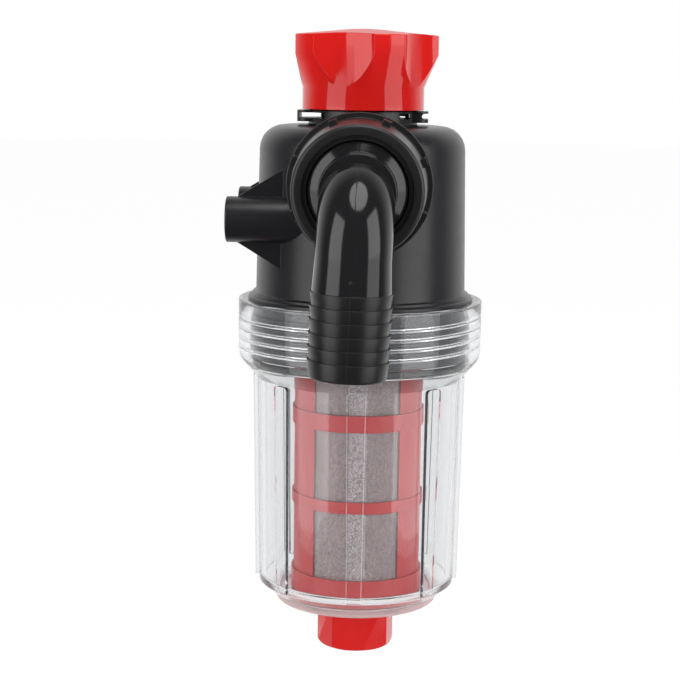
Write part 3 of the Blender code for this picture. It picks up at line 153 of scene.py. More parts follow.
# Bowl
BOWL_FLOOR = 0.0032
BOWL_FOOT_RADIUS = 0.0433
BOWL_FOOT_HEIGHT = 0.0041
BOWL_BASE_RADIUS = 0.0525
BOWL_TOP_RADIUS = 0.0542
BOWL_BASE_RISE = 0.0102
BOWL_FOOT_SLOPE_WIDTH = 0.0044
BOWL_FOOT_SLOPE_RISE = 0.0020
BOWL_WALL = 0.0032
BOWL_SHOULDER_HEIGHT = 0.1215
BOWL_CHAMFER_HEIGHT = 0.0111
DRAIN_BOSS_WALL = 0.0042
DRAIN_BOSS_HEIGHT = 0.0080
RIB_COUNT = 8
RIB_TOP_WIDTH = 0.0095
RIB_BASE_WIDTH = 0.0075
RIB_PROUD = 0.0020
RIB_ROOT = 0.0015
RIB_BASE_RISE = 0.0112
RIB_CORNER = 0.0020

# Collar of the bowl and its coarse thread
COLLAR_STEP = 0.0102
COLLAR_HEIGHT = 0.0303
COLLAR_WALL = 0.0058
COLLAR_MOUTH_DEPTH = 0.0017
COLLAR_LIP = 0.0006
BOWL_LEDGE_DROP = 0.0021
BOWL_LEDGE_WIDTH = 0.0036
THREAD_PITCH = 0.0050
THREAD_DEPTH = 0.0016
THREAD_ROOT_WIDTH = 0.0022
THREAD_CREST_WIDTH = 0.0012
THREAD_ROOTED = 0.0006
THREAD_CREST_ROUND = 0.12
THREAD_STEPS = 80
COLLAR_THREAD_TURNS = 4.0
SPIGOT_THREAD_TURNS = 3.75
BOWL_SEAL_SECTION = 0.0015

# Cartridge
GASKET_THICKNESS = 0.0026
CARTRIDGE_HEIGHT = 0.1410
CARTRIDGE_RADIUS = 0.0352
CARTRIDGE_BAND = 0.0015
CARTRIDGE_LIP = 0.0034
CARTRIDGE_FOOT_HEIGHT = 0.0112
CARTRIDGE_CROWN_HEIGHT = 0.0080
CARTRIDGE_LIP_HEIGHT = 0.0022
HOOPS = ((0.0908, 0.0088), (0.0476, 0.0060))
POST_COUNT = 3
POST_TURN_DEG = 60.0
POST_SPREAD_DEG = 40.0
POST_SINK = 0.0010
MESH_THICKNESS = 0.0004
WIRE_PITCH = 0.00080
SEAM_START_DEG = -8.0
SEAM_END_DEG = 9.0
SEAM_LIFT = 0.00022

# Head
HEAD_HEIGHT = 0.0888
HEAD_TOP_RADIUS = 0.0535
HEAD_BASE_RADIUS = 0.0552
HEAD_FILLET = 0.0125
HEAD_WALL = 0.0035
HEAD_ROOF = 0.0040
FLANGE_INSET = 0.0052
FLANGE_THICKNESS = 0.0036
FLANGE_STEP_WIDTH = 0.0021
FLANGE_STEP_HEIGHT = 0.0016
SPIGOT_WALL = 0.0035
SPIGOT_THREAD_GAP = 0.0006
SEAT_RADIUS = 0.0352
SEAT_THICKNESS = 0.0040
CHAMBER_RADIUS = 0.0240
CHAMBER_WALL = 0.0034

# Neck, its ears and the retaining fork
NECK_RADIUS = 0.0284
NECK_HEIGHT = 0.0080
EAR_REACH = 0.0340
EAR_HALF_DEPTH = 0.0130
EAR_HEIGHT = 0.0057
EAR_TOP_STEP = 0.0003
EAR_CORNER = 0.0050
EAR_LIP = 0.0014
SLOT_RISE = 0.0038
SLOT_HEIGHT = 0.0028
FORK_THICKNESS = 0.0022
FORK_LEG_WIDTH = 0.0020
FORK_TIP_REACH = 0.0105
FORK_BRIDGE_GAP = 0.0008
FORK_BRIDGE_WIDTH = 0.0032
FORK_SPRING_ROOM = 0.0022
NOTCH_RADIUS = 0.0015
NOTCH_DEPTH = 0.0034
GROOVE_RADIUS = 0.0195

# Knob
KNOB_CLEARANCE = 0.0004
KNOB_BASE_RADIUS = 0.03175
KNOB_BASE_HEIGHT = 0.0114
KNOB_CONE_HEIGHT = 0.0167
KNOB_LOBE_RADIUS = 0.0389
KNOB_LOBE_HEIGHT = 0.0100
KNOB_EDGE = 0.0006
KNOB_CROWN_RISE = 0.0020
KNOB_LOBES = 5
KNOB_TURN_DEG = 20.6
FLUTE_RADIUS = 0.0414
FLUTE_FLOOR_RADIUS = 0.0322
KNOB_WALL = 0.0036
KNOB_TOP_WALL = 0.0080
KNOB_HUB_RADIUS = 0.0100
SPINDLE_SQUARE = 0.0084
SPINDLE_KNOB_LENGTH = 0.0220
CAP_RADIUS = 0.0162
CAP_THICKNESS = 0.0022
CAP_RECESS = 0.0014
CAP_CROWN = 0.0011
CAP_STEPS = 12
CAP_DOME_SHARE = 0.985
CAP_EDGE = 0.0003
SCREW_RADIUS = 0.0022
SCREW_HEAD_RADIUS = 0.0045
SCREW_HEAD_HEIGHT = 0.0028
SCREW_WELL_DEPTH = 0.0034

# Ports, the same in front and behind: label, side and turn of each elbow
PORTS = (("front", -1, -2.1), ("rear", 1, 0.0))
PORT_RISE = 0.0611
PORT_BORE_RADIUS = 0.0150
PORT_DUCT_WALL = 0.0032
OUTLET_BORE_SETBACK = 0.0040
PORT_BOSS_RADIUS = 0.0312
PORT_BOSS_ROOT = 0.0420
PORT_BOSS_FACE = 0.0570
PORT_THREAD_RADIUS = 0.0295
PORT_FACE = 0.0840
PORT_SOCKET_RADIUS = 0.0203
PORT_SOCKET_DEPTH = 0.0140
NOSE_LENGTH = 0.0130
NOSE_SEAL_SETBACK = 0.0055
NOSE_SEAL_SECTION = 0.0014
NOSE_GROOVE_ROOM = 0.0002
ELBOW_FLANGE_RADIUS = 0.0272
ELBOW_FLANGE_THICKNESS = 0.0056

# Ring nuts
NUT_RIM_RADIUS = 0.0362
NUT_RIM_WIDTH = 0.0036
NUT_BARREL_RADIUS = 0.0334
NUT_FRONT_RADIUS = 0.0316
NUT_FRONT_ROUND = 0.0022
NUT_LIP_DEPTH = 0.0105
NUT_MOUTH_RADIUS = 0.0242
NUT_FACE_RADIUS = 0.0264
NUT_MOUTH_CHAMFER = 0.0025
NUT_RIB_COUNT = 8
NUT_RIB_TURN_DEG = 22.5
NUT_RIB_WIDTH = 0.0042
NUT_RIB_RADIUS = 0.0352
NUT_RIB_ROOT = 0.0010
NUT_RIB_SETBACK = 0.0207

# Elbow hose tails
ELBOW_BEND_RADIUS = 0.0300
ELBOW_AXIS_REACH = 0.1200
ELBOW_TUBE_RADIUS = 0.0180
ELBOW_BORE_RADIUS = 0.0143
ELBOW_CONE_RADIUS = 0.0236
ELBOW_CONE_START = 0.0075
ELBOW_CONE_LENGTH = 0.0024
ELBOW_COLLAR_RADIUS = 0.0185
ELBOW_COLLAR_END = 0.1095
TAIL_NECK_RADIUS = 0.0187
TAIL_NECK_LENGTH = 0.0145
BARB_COUNT = 6
BARB_PITCH = 0.0063
BARB_CREST_RADIUS = 0.0193
BARB_ROOT_RADIUS = 0.0184
TAIL_TIP_LENGTH = 0.0087
TAIL_TIP_ROUND = 0.0012
BARB_EDGE = 0.0002
BARB_LAND = 0.0004

# Bracket bosses
BOSS_FACE_X = -0.0678
BOSS_SPREAD = 0.0360
BOSS_RISE = 0.0418
BOSS_RADIUS = 0.01165
BOSS_ROOT = 0.0200
INSERT_RADIUS = 0.0062
INSERT_LENGTH = 0.0140
INSERT_BORE_RADIUS = 0.0042
INSERT_RECESS = 0.0006
GUSSET_THICKNESS = 0.0030
GUSSET_RISE = 0.0146
GUSSET_TIP_SETBACK = 0.0042
GUSSET_TIP_SINK = 0.0010

# Radii and heights worked out from the sizes above
COLLAR_RADIUS = BOWL_TOP_RADIUS + COLLAR_STEP
COLLAR_BORE_RADIUS = COLLAR_RADIUS - COLLAR_WALL
FLANGE_RADIUS = COLLAR_RADIUS - FLANGE_INSET
FLANGE_STEP_RADIUS = FLANGE_RADIUS - FLANGE_STEP_WIDTH
BOWL_BASE = PLUG_HEAD_HEIGHT + GAP
FLOOR_TOP = BOWL_BASE + BOWL_FLOOR
BOWL_SHOULDER = BOWL_BASE + BOWL_SHOULDER_HEIGHT
COLLAR_BASE = BOWL_SHOULDER + BOWL_CHAMFER_HEIGHT
COLLAR_TOP = COLLAR_BASE + COLLAR_HEIGHT
LEDGE_TOP = COLLAR_BASE - BOWL_LEDGE_DROP
FLANGE_BASE = COLLAR_TOP - COLLAR_MOUTH_DEPTH + GAP
SPIGOT_BASE = LEDGE_TOP + 2 * GAP + 2 * BOWL_SEAL_SECTION
SPIGOT_RADIUS = COLLAR_BORE_RADIUS - THREAD_DEPTH - SPIGOT_THREAD_GAP
FLANGE_TOP = FLANGE_BASE + FLANGE_THICKNESS
HEAD_TOP = FLANGE_TOP + HEAD_HEIGHT
ROOF_BASE = HEAD_TOP - HEAD_ROOF
NECK_TOP = HEAD_TOP + NECK_HEIGHT
PORT_Z = FLANGE_TOP + PORT_RISE
BOSS_Z = FLANGE_TOP + BOSS_RISE
CARTRIDGE_BASE = FLOOR_TOP + GASKET_THICKNESS + 2 * GAP
CARTRIDGE_TOP = CARTRIDGE_BASE + CARTRIDGE_HEIGHT
SEAT_Z = CARTRIDGE_TOP + GASKET_THICKNESS + 2 * GAP
EAR_BASE = NECK_TOP - EAR_TOP_STEP - EAR_HEIGHT
SLOT_BASE = HEAD_TOP + SLOT_RISE
FORK_BASE = SLOT_BASE + (SLOT_HEIGHT - FORK_THICKNESS) / 2
KNOB_BASE = NECK_TOP + KNOB_CLEARANCE
KNOB_CONE_BASE = KNOB_BASE + KNOB_BASE_HEIGHT
KNOB_LOBE_BASE = KNOB_CONE_BASE + KNOB_CONE_HEIGHT
KNOB_RIM = KNOB_LOBE_BASE + KNOB_LOBE_HEIGHT
KNOB_CROWN = KNOB_RIM + KNOB_CROWN_RISE
KNOB_CEILING = KNOB_RIM - KNOB_TOP_WALL
NOSE_RADIUS = PORT_SOCKET_RADIUS - GAP
ELBOW_FLANGE_BACK = PORT_FACE + GAP
ELBOW_FLANGE_FRONT = ELBOW_FLANGE_BACK + ELBOW_FLANGE_THICKNESS
NUT_BACK = PORT_BOSS_FACE + GAP
NUT_LIP_BACK = ELBOW_FLANGE_FRONT + GAP
NUT_FRONT = NUT_LIP_BACK + NUT_LIP_DEPTH
BEND_START = ELBOW_AXIS_REACH - ELBOW_BEND_RADIUS


# Mesh helpers

def new_object(name, mesh):
    """An object in the scene."""
    item = bpy.data.objects.new(name, mesh)
    bpy.context.scene.collection.objects.link(item)
    return item


def mesh_from(name, shape):
    """Turn a bmesh into a mesh and free it."""
    mesh = bpy.data.meshes.new(name)
    shape.to_mesh(mesh)
    shape.free()
    return mesh


def rounded(corners, closed=False):
    """A profile through (radius, height, fillet) corners with each fillet an arc."""
    points = []
    last = len(corners) - 1
    for index, (x, z, fillet) in enumerate(corners):
        corner = Vector((x, z))
        if fillet == 0.0 or (not closed and index in (0, last)):
            points.append((x, z))
            continue
        before = (Vector(corners[index - 1][:2]) - corner).normalized()
        after = (Vector(corners[(index + 1) % len(corners)][:2]) - corner).normalized()
        half = before.angle(after) / 2
        centre = corner + (before + after).normalized() * (fillet / math.sin(half))
        start = corner + before * (fillet / math.tan(half)) - centre
        end = corner + after * (fillet / math.tan(half)) - centre
        sweep = math.atan2(start.x * end.y - start.y * end.x, start.dot(end))
        for step in range(FILLET_STEPS + 1):
            turn = sweep * step / FILLET_STEPS
            points.append((centre.x + start.x * math.cos(turn) - start.y * math.sin(turn),
                           centre.y + start.x * math.sin(turn) + start.y * math.cos(turn)))
    return points


def turned(name, points, steps=ROUND_STEPS, closed=False):
    """A profile turned about Z; it runs down its outer side."""
    outline = bmesh.new()
    verts = [outline.verts.new((x, 0.0, z)) for x, z in points]
    for first, second in zip(verts, verts[1:]):
        outline.edges.new((first, second))
    if closed:
        outline.edges.new((verts[-1], verts[0]))
    item = new_object(name, mesh_from(name, outline))
    screw = item.modifiers.new("turned", "SCREW")
    screw.steps = steps
    screw.render_steps = steps
    screw.use_merge_vertices = True
    screw.merge_threshold = MERGE
    return item


def rod(radius, low, high):
    """Profile of a plain cylinder."""
    return [(0.0, high), (radius, high), (radius, low), (0.0, low)]


def washer(inner, outer, low, high):
    """Closed profile of a flat ring."""
    return [(outer, high), (outer, low), (inner, low), (inner, high)]


def box(name, low, high):
    """A box between two corners."""
    shape = bmesh.new()
    bmesh.ops.create_cube(shape, size=1.0)
    bmesh.ops.scale(shape, vec=Vector(high) - Vector(low), verts=shape.verts)
    bmesh.ops.translate(shape, vec=(Vector(high) + Vector(low)) / 2, verts=shape.verts)
    return new_object(name, mesh_from(name, shape))


def weld(shape):
    """Merge doubled points and turn the faces outward."""
    bmesh.ops.remove_doubles(shape, verts=shape.verts, dist=JOIN_DISTANCE)
    bmesh.ops.recalc_face_normals(shape, faces=shape.faces)


def rotate(shape, verts, angle, axis):
    """Turn part of a bmesh about an axis through the origin."""
    bmesh.ops.rotate(shape, verts=verts, cent=(0, 0, 0), matrix=Matrix.Rotation(angle, 3, axis))


def curve_mesh(name, curve):
    """Turn a curve into a welded mesh and drop the curve."""
    carrier = new_object(name, curve)
    bpy.context.view_layer.update()
    graph = bpy.context.evaluated_depsgraph_get()
    mesh = bpy.data.meshes.new_from_object(carrier.evaluated_get(graph))
    bpy.data.objects.remove(carrier, do_unlink=True)
    shape = bmesh.new()
    shape.from_mesh(mesh)
    weld(shape)
    return mesh_from(name, shape)


def plate(name, outline, thickness):
    """A flat outline in the XY plane, half its thickness to each side."""
    curve = bpy.data.curves.new(name, "CURVE")
    curve.dimensions = "2D"
    curve.fill_mode = "BOTH"
    curve.extrude = thickness / 2
    spline = curve.splines.new("POLY")
    spline.points.add(len(outline) - 1)
    for point, (x, y) in zip(spline.points, outline):
        point.co = (x, y, 0.0, 1.0)
    spline.use_cyclic_u = True
    return new_object(name, curve_mesh(name, curve))


def tube(name, route, sides):
    """A round bar along a route of (place, radius) pairs."""
    curve = bpy.data.curves.new(name, "CURVE")
    curve.dimensions = "3D"
    curve.bevel_depth = route[0][1]
    curve.bevel_resolution = sides // 2 - 2
    curve.use_fill_caps = True
    spline = curve.splines.new("POLY")
    spline.points.add(len(route) - 1)
    for point, (place, radius) in zip(spline.points, route):
        point.co = (*place, 1.0)
        point.radius = radius / curve.bevel_depth
    return new_object(name, curve_mesh(name, curve))


def ring(name, major, minor, height, steps=SMALL_STEPS):
    """An O-ring about Z at a height."""
    shape = bmesh.new()
    bmesh.ops.create_circle(shape, segments=RING_SIDES, radius=minor)
    rotate(shape, shape.verts, math.pi / 2, "X")
    bmesh.ops.translate(shape, verts=shape.verts, vec=(major, 0, height))
    bmesh.ops.spin(shape, geom=shape.verts[:] + shape.edges[:], cent=(0, 0, 0), axis=(0, 0, 1),
                   angle=2 * math.pi, steps=steps, use_merge=True)
    weld(shape)
    return new_object(name, mesh_from(name, shape))


def helix(name, root, crest, base, turns):
    """A thread ridge with a rounded crest, swept up a right-hand helix."""
    shape = bmesh.new()
    middle = base + THREAD_ROOT_WIDTH / 2
    shoulder = crest - (crest - root) * THREAD_CREST_ROUND
    flank = [(root, THREAD_ROOT_WIDTH / 2), (shoulder, THREAD_CREST_WIDTH / 2),
             (crest, THREAD_CREST_WIDTH / 4)]
    section = [(x, middle - rise) for x, rise in flank] + [(x, middle + rise) for x, rise in reversed(flank)]
    face = shape.faces.new([shape.verts.new((x, 0.0, z)) for x, z in section])
    steps = round(turns * THREAD_STEPS)
    bmesh.ops.spin(shape, geom=[face] + list(face.edges) + list(face.verts), cent=(0, 0, 0),
                   axis=(0, 0, 1), dvec=(0, 0, THREAD_PITCH / THREAD_STEPS),
                   angle=2 * math.pi * steps / THREAD_STEPS, steps=steps, use_merge=False)
    rotate(shape, shape.verts, math.pi / ROUND_STEPS, "Z")
    bmesh.ops.recalc_face_normals(shape, faces=shape.faces)
    return new_object(name, mesh_from(name, shape))


def change(target, tool, operation):
    """Join or cut with an exact Boolean; the tool goes once the piece is made."""
    step = target.modifiers.new(tool.name, "BOOLEAN")
    step.operation = operation
    step.solver = "EXACT"
    step.object = tool
    tool.hide_render = True
    weld = target.modifiers.new(f"{tool.name}_weld", "WELD")
    weld.merge_threshold = WELD_DISTANCE
    TOOLS.append(tool)


def join(target, tool):
    """Add a tool's shape to a piece."""
    change(target, tool, "UNION")


def cut(target, tool):
    """Take a tool's shape out of a piece."""
    change(target, tool, "DIFFERENCE")


def finish_piece(item, finish, *nodes):
    """Apply the piece's modifiers, shade it, dress it and hang it on its node's body."""
    bpy.context.view_layer.update()
    graph = bpy.context.evaluated_depsgraph_get()
    mesh = bpy.data.meshes.new_from_object(item.evaluated_get(graph))
    item.modifiers.clear()
    item.data = mesh
    while TOOLS:
        bpy.data.objects.remove(TOOLS.pop(), do_unlink=True)
    mesh.name = item.name
    mesh.materials.clear()
    mesh.materials.append(FINISH[finish])
    mesh.shade_smooth()
    mesh.set_sharp_from_angle(angle=math.radians(SHARP_ANGLE_DEG))
    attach(item, BODY_OF[nodes[0]])
    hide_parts(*nodes)


def arc(centre, radius, start_deg, end_deg, count):
    """Points on an arc, both ends included."""
    points = []
    for index in range(count + 1):
        angle = math.radians(start_deg + (end_deg - start_deg) * index / count)
        points.append((centre[0] + radius * math.cos(angle), centre[1] + radius * math.sin(angle)))
    return points


def face_port(item, side, turn_deg=0.0):
    """Lay a turned shape on the port axis: its +Z points out of the port."""
    out = Matrix.Rotation(0.0 if side < 0 else math.pi, 4, "Z") @ Matrix.Rotation(math.pi / 2, 4, "X")
    item.matrix_world = (Matrix.Translation((0.0, 0.0, PORT_Z)) @ out
                         @ Matrix.Rotation(math.radians(turn_deg), 4, "Z"))
    return item


def face_bracket(item, side):
    """Lay a turned shape on a bracket boss's axis: its +Z points to the bracket."""
    item.location = (0.0, side * BOSS_SPREAD, BOSS_Z)
    item.rotation_euler = (0.0, -math.pi / 2, 0.0)
    return item


# Materials

def shader_tree(name):
    """A new material's node tree and its Principled shader."""
    material = bpy.data.materials.new(name)
    material.use_nodes = True
    tree = material.node_tree
    return material, tree, tree.nodes["Principled BSDF"]


def feed(tree, socket, value):
    """Link a socket to a node's output, or set it to a plain value."""
    if isinstance(value, bpy.types.NodeSocket):
        tree.links.new(value, socket)
    else:
        socket.default_value = value


def fill(tree, node, values):
    """Link or set a node's inputs by name."""
    for name, value in values.items():
        feed(tree, node.inputs[name], value)
    return node


def compute(tree, operation, *values):
    """A Math node's result for outputs or plain numbers."""
    node = tree.nodes.new("ShaderNodeMath")
    node.operation = operation
    for socket, value in zip(node.inputs, values):
        feed(tree, socket, value)
    return node.outputs["Value"]


def along(tree, place, axis):
    """One coordinate of a vector."""
    return fill(tree, tree.nodes.new("ShaderNodeSeparateXYZ"), {"Vector": place}).outputs[axis]


def mixed(tree, factor, first, second):
    """The second shader mixed into the first by a factor."""
    node = tree.nodes.new("ShaderNodeMixShader")
    for socket, value in zip(node.inputs, (factor, first, second)):
        feed(tree, socket, value)
    return node.outputs["Shader"]


def show(tree, shader):
    """Put a shader on the material's surface."""
    tree.links.new(shader, tree.nodes["Material Output"].inputs["Surface"])


def coordinates(tree):
    """The piece's own coordinates in metres."""
    return tree.nodes.new("ShaderNodeTexCoord").outputs["Object"]


def noise(tree, scale, detail=3.0, roughness=0.5, stretch=None):
    """Noise in the piece's own coordinates; scale is in features a metre."""
    place = coordinates(tree)
    if stretch:
        mapping = tree.nodes.new("ShaderNodeMapping")
        place = fill(tree, mapping, {"Scale": stretch, "Vector": place}).outputs["Vector"]
    values = {"Scale": scale, "Detail": detail, "Roughness": roughness, "Vector": place}
    return fill(tree, tree.nodes.new("ShaderNodeTexNoise"), values).outputs["Fac"]


def spread(tree, value, low, high, from_low=PLAIN_RANGE[0], from_high=PLAIN_RANGE[1]):
    """A value mapped to the range low to high."""
    values = {"Value": value, "From Min": from_low, "From Max": from_high, "To Min": low, "To Max": high}
    return fill(tree, tree.nodes.new("ShaderNodeMapRange"), values).outputs["Result"]


def two_colours(tree, factor, first, second):
    """A colour between two by a factor."""
    node = tree.nodes.new("ShaderNodeMix")
    node.data_type = "RGBA"
    values = {"Factor": factor, "A": (*first, 1.0), "B": (*second, 1.0)}
    return fill(tree, node, values).outputs["Result"]


def bump(tree, height, distance, normal=None):
    """A bump whose height of 1 is a distance in metres."""
    values = {"Height": height, "Distance": distance, "Strength": 1.0}
    if normal:
        values["Normal"] = normal
    return fill(tree, tree.nodes.new("ShaderNodeBump"), values).outputs["Normal"]


def soft_edges(tree, radius):
    """Normals that round the edges at a radius in metres."""
    node = tree.nodes.new("ShaderNodeBevel")
    node.samples = BEVEL_SAMPLES
    node.inputs["Radius"].default_value = radius
    return node.outputs["Normal"]


def parting_line(tree, normal):
    """A fine flash line on the piece's own X = 0 plane, and the rough spot where it was gated."""
    aside = compute(tree, "ABSOLUTE", along(tree, coordinates(tree), "X"))
    line = spread(tree, aside, 1.0, 0.0, 0.0, PARTING_WIDTH)
    away = tree.nodes.new("ShaderNodeVectorMath")
    away.operation = "DISTANCE"
    away.inputs[1].default_value = GATE_MARK
    tree.links.new(coordinates(tree), away.inputs[0])
    spot = spread(tree, away.outputs["Value"], 1.0, 0.0, 0.0, GATE_RADIUS)
    rough = compute(tree, "MULTIPLY", spot, noise(tree, GATE_SCALE, 1.0))
    return bump(tree, rough, GATE_HEIGHT, bump(tree, line, PARTING_HEIGHT, normal))


def matt_tail(tree, gloss):
    """The elbow's barbs are duller than its bend: roughness rises below the neck."""
    neck_end = -ELBOW_BEND_RADIUS - TAIL_NECK_LENGTH
    extra = spread(tree, along(tree, coordinates(tree), "Y"), TAIL_EXTRA_ROUGHNESS, 0.0,
                   neck_end + TAIL_FADE[0], neck_end + TAIL_FADE[1])
    return compute(tree, "ADD", gloss, extra)


def satin_top(tree, gloss):
    """Faces that look up are duller: roughness rises with the normal's own Z."""
    normal = tree.nodes.new("ShaderNodeTexCoord").outputs["Normal"]
    extra = spread(tree, along(tree, normal, "Z"), 0.0, TOP_EXTRA_ROUGHNESS, *TOP_FACING)
    return compute(tree, "ADD", gloss, extra)


def moulded(name, dark, light, roughness, grain_depth, edge, wave_depth=0.0, gloss_change=None,
            parted=False):
    """A moulded plastic: cloudy colour, fine grain, uneven gloss and soft edges."""
    material, tree, shader = shader_tree(name)
    gloss = spread(tree, noise(tree, SMEAR_SCALE, 3.0), *roughness)
    normal = soft_edges(tree, edge)
    if wave_depth:
        normal = bump(tree, noise(tree, WAVE_SCALE, 1.0), wave_depth, normal)
    if parted:
        normal = parting_line(tree, normal)
    if gloss_change:
        gloss = gloss_change(tree, gloss)
    fill(tree, shader, {
        "Base Color": two_colours(tree, noise(tree, CLOUD_SCALE, 4.0), dark, light), "Roughness": gloss,
        "Normal": bump(tree, noise(tree, GRAIN_SCALE, 2.0), grain_depth, normal), "IOR": PLASTIC_IOR})
    return material


def painted_refraction_tint(tree):
    """Share and colour of the painted light on the bowl: grey on the edges for the light lines that
    refraction draws there, and red on the floor for the red cartridge seen through it.
    """
    turn = tree.nodes.new("ShaderNodeVectorMath")
    turn.operation = "DOT_PRODUCT"
    tree.links.new(soft_edges(tree, CLEAR_EDGE), turn.inputs[0])
    tree.links.new(tree.nodes.new("ShaderNodeNewGeometry").outputs["Normal"], turn.inputs[1])
    edge = spread(tree, turn.outputs["Value"], CLEAR_EDGE_PAINT_SHARE, 0.0, *CLEAR_EDGE_FACING)
    low = spread(tree, along(tree, coordinates(tree), "Z"), 1.0, 0.0, FLOOR_TOP, FLOOR_TOP + BOWL_FLOOR)
    share = compute(tree, "MAXIMUM", edge, spread(tree, low, 0.0, CLEAR_FLOOR_PAINT_SHARE, 0.0, 1.0))
    return share, two_colours(tree, low, CLEAR_EDGE_PAINTED_GREY, CLEAR_FLOOR_PAINTED_RED)


def clear_plastic():
    """Clear moulding: glass to look through, with painted light on its edges and floor, and open to shadow
    and diffuse rays.
    """
    material, tree, shader = shader_tree("clear_plastic")
    fill(tree, shader, {
        "Base Color": CLEAR_TINT, "Transmission Weight": CLEAR_TRANSMISSION, "IOR": CLEAR_IOR,
        "Roughness": spread(tree, noise(tree, CLEAR_CLOUD_SCALE, 3.0), *CLEAR_ROUGHNESS),
        "Normal": bump(tree, noise(tree, CLEAR_WAVE_SCALE, 1.0), CLEAR_WAVE_DEPTH)})
    share, colour = painted_refraction_tint(tree)
    # The painted grey and red are a diffuse shader mixed into the glass by their share
    painted_tint = fill(tree, tree.nodes.new("ShaderNodeBsdfDiffuse"), {"Color": colour}).outputs["BSDF"]
    through = tree.nodes.new("ShaderNodeBsdfTransparent")
    through.inputs["Color"].default_value = CLEAR_SHADOW_TINT
    path = tree.nodes.new("ShaderNodeLightPath").outputs
    passed = compute(tree, "MAXIMUM", path["Is Shadow Ray"], path["Is Diffuse Ray"])
    edged = mixed(tree, share, shader.outputs["BSDF"], painted_tint)
    show(tree, mixed(tree, passed, edged, through.outputs["BSDF"]))
    return material


def woven_steel(name, dark, light, glint_high, glint_from):
    """Woven stainless wire: crossed ridges in the sleeve's own UV, in wires, random blotches, and painted
    glints: bright specks in the colour that stand in for highlights on the wires.
    """
    material, tree, shader = shader_tree(name)
    place = tree.nodes.new("ShaderNodeUVMap")
    place.uv_map = "wires"
    waves = []
    for axis in ("X", "Y"):
        turn = compute(tree, "MULTIPLY", along(tree, place.outputs["UV"], axis), math.pi)
        waves.append(compute(tree, "SINE", turn))
    weave = spread(tree, compute(tree, "MULTIPLY", *waves), 0.0, 1.0, -1.0, 1.0)
    blotches = noise(tree, BLOTCH_SCALE, 5.0, 0.65, BLOTCH_STRETCH)
    glints = noise(tree, GLINT_SCALE, 2.0, 0.75)
    # Painted highlights: the colour is lifted to bright specks where the glint noise is high
    painted_glints = spread(tree, glints, GLINT_DARKEST, glint_high, glint_from, GLINT_FULL)
    uneven = compute(tree, "ADD", spread(tree, blotches, 0.0, BLOTCH_SHADE), painted_glints)
    shade = compute(tree, "MULTIPLY_ADD", weave, WEAVE_SHADE, uneven)
    fill(tree, shader, {
        "Base Color": two_colours(tree, shade, dark, light), "Metallic": WEAVE_METALLIC,
        "Roughness": spread(tree, glints, *WEAVE_ROUGHNESS), "Normal": bump(tree, weave, WEAVE_DEPTH)})
    return material


def metal(name, dark, light, roughness, rings):
    """Turned or drawn metal: fine rings along its axis and uneven gloss."""
    material, tree, shader = shader_tree(name)
    lines = noise(tree, METAL_LINE_SCALE, 2.0, 0.6, rings)
    fill(tree, shader, {
        "Base Color": two_colours(tree, noise(tree, METAL_CLOUD_SCALE), dark, light), "Metallic": 1.0,
        "Roughness": spread(tree, lines, *roughness),
        "Normal": bump(tree, lines, METAL_LINE_DEPTH, soft_edges(tree, METAL_EDGE))})
    return material


def make_materials():
    """Every finish by name: dark and light colour, roughness range, then depths and edges in metres."""
    return {
        "head": moulded("head_plastic", (0.010, 0.0095, 0.012), (0.014, 0.0135, 0.016), (0.30, 0.36),
                        0.000018, 0.0005, 0.00008),
        "nut": moulded("nut_plastic", (0.010, 0.010, 0.011), (0.015, 0.015, 0.016), (0.34, 0.42),
                       0.000010, 0.0004),
        "elbow": moulded("elbow_plastic", (0.010, 0.010, 0.011), (0.014, 0.014, 0.015), (0.09, 0.12),
                         0.000002, 0.0003, 0.00005, matt_tail, parted=True),
        "knob": moulded("knob_plastic", (0.63, 0.011, 0.009), (0.68, 0.014, 0.012), (0.05, 0.08),
                        0.000002, 0.0005, 0.00002, satin_top),
        "cartridge": moulded("cartridge_plastic", (0.35, 0.009, 0.011), (0.42, 0.013, 0.015), (0.28, 0.38),
                             0.000008, 0.0005),
        "plug": moulded("plug_plastic", (0.66, 0.014, 0.013), (0.74, 0.020, 0.018), (0.12, 0.18),
                        0.000005, 0.0005),
        "clear": clear_plastic(),
        "weave": woven_steel("woven_steel", (0.09, 0.058, 0.060), (0.36, 0.285, 0.28), 0.55, 0.44),
        # The seam's lap has lighter colours and stronger painted glints
        "weave_lap": woven_steel("woven_steel_lap", (0.10, 0.070, 0.072), (0.50, 0.44, 0.435), 0.95, 0.48),
        "brass": metal("turned_brass", (0.62, 0.42, 0.17), (0.78, 0.56, 0.27), (0.22, 0.38), (8.0, 1.0, 1.0)),
        "steel": metal("drawn_steel", (0.50, 0.50, 0.50), (0.62, 0.62, 0.61), (0.20, 0.35), (1.0, 1.0, 6.0)),
        "rubber": moulded("seal_rubber", (0.012, 0.012, 0.012), (0.022, 0.022, 0.022), (0.50, 0.65),
                          0.00002, 0.0004),
    }


# Head and neck

def head_outside():
    """Outside of the head with its fillets."""
    step_top = FLANGE_TOP + FLANGE_STEP_HEIGHT
    return rounded([
        (0.0, NECK_TOP, 0.0), (NECK_RADIUS, NECK_TOP, 0.0005), (NECK_RADIUS, HEAD_TOP, 0.0012),
        (HEAD_TOP_RADIUS, HEAD_TOP, HEAD_FILLET), (HEAD_BASE_RADIUS, step_top, 0.0010),
        (FLANGE_STEP_RADIUS, step_top, 0.0006), (FLANGE_STEP_RADIUS, FLANGE_TOP, 0.0003),
        (FLANGE_RADIUS, FLANGE_TOP, 0.0014), (FLANGE_RADIUS, FLANGE_BASE, 0.0008),
        (SPIGOT_RADIUS, FLANGE_BASE, 0.0004), (SPIGOT_RADIUS, SPIGOT_BASE, 0.0005), (0.0, SPIGOT_BASE, 0.0)])


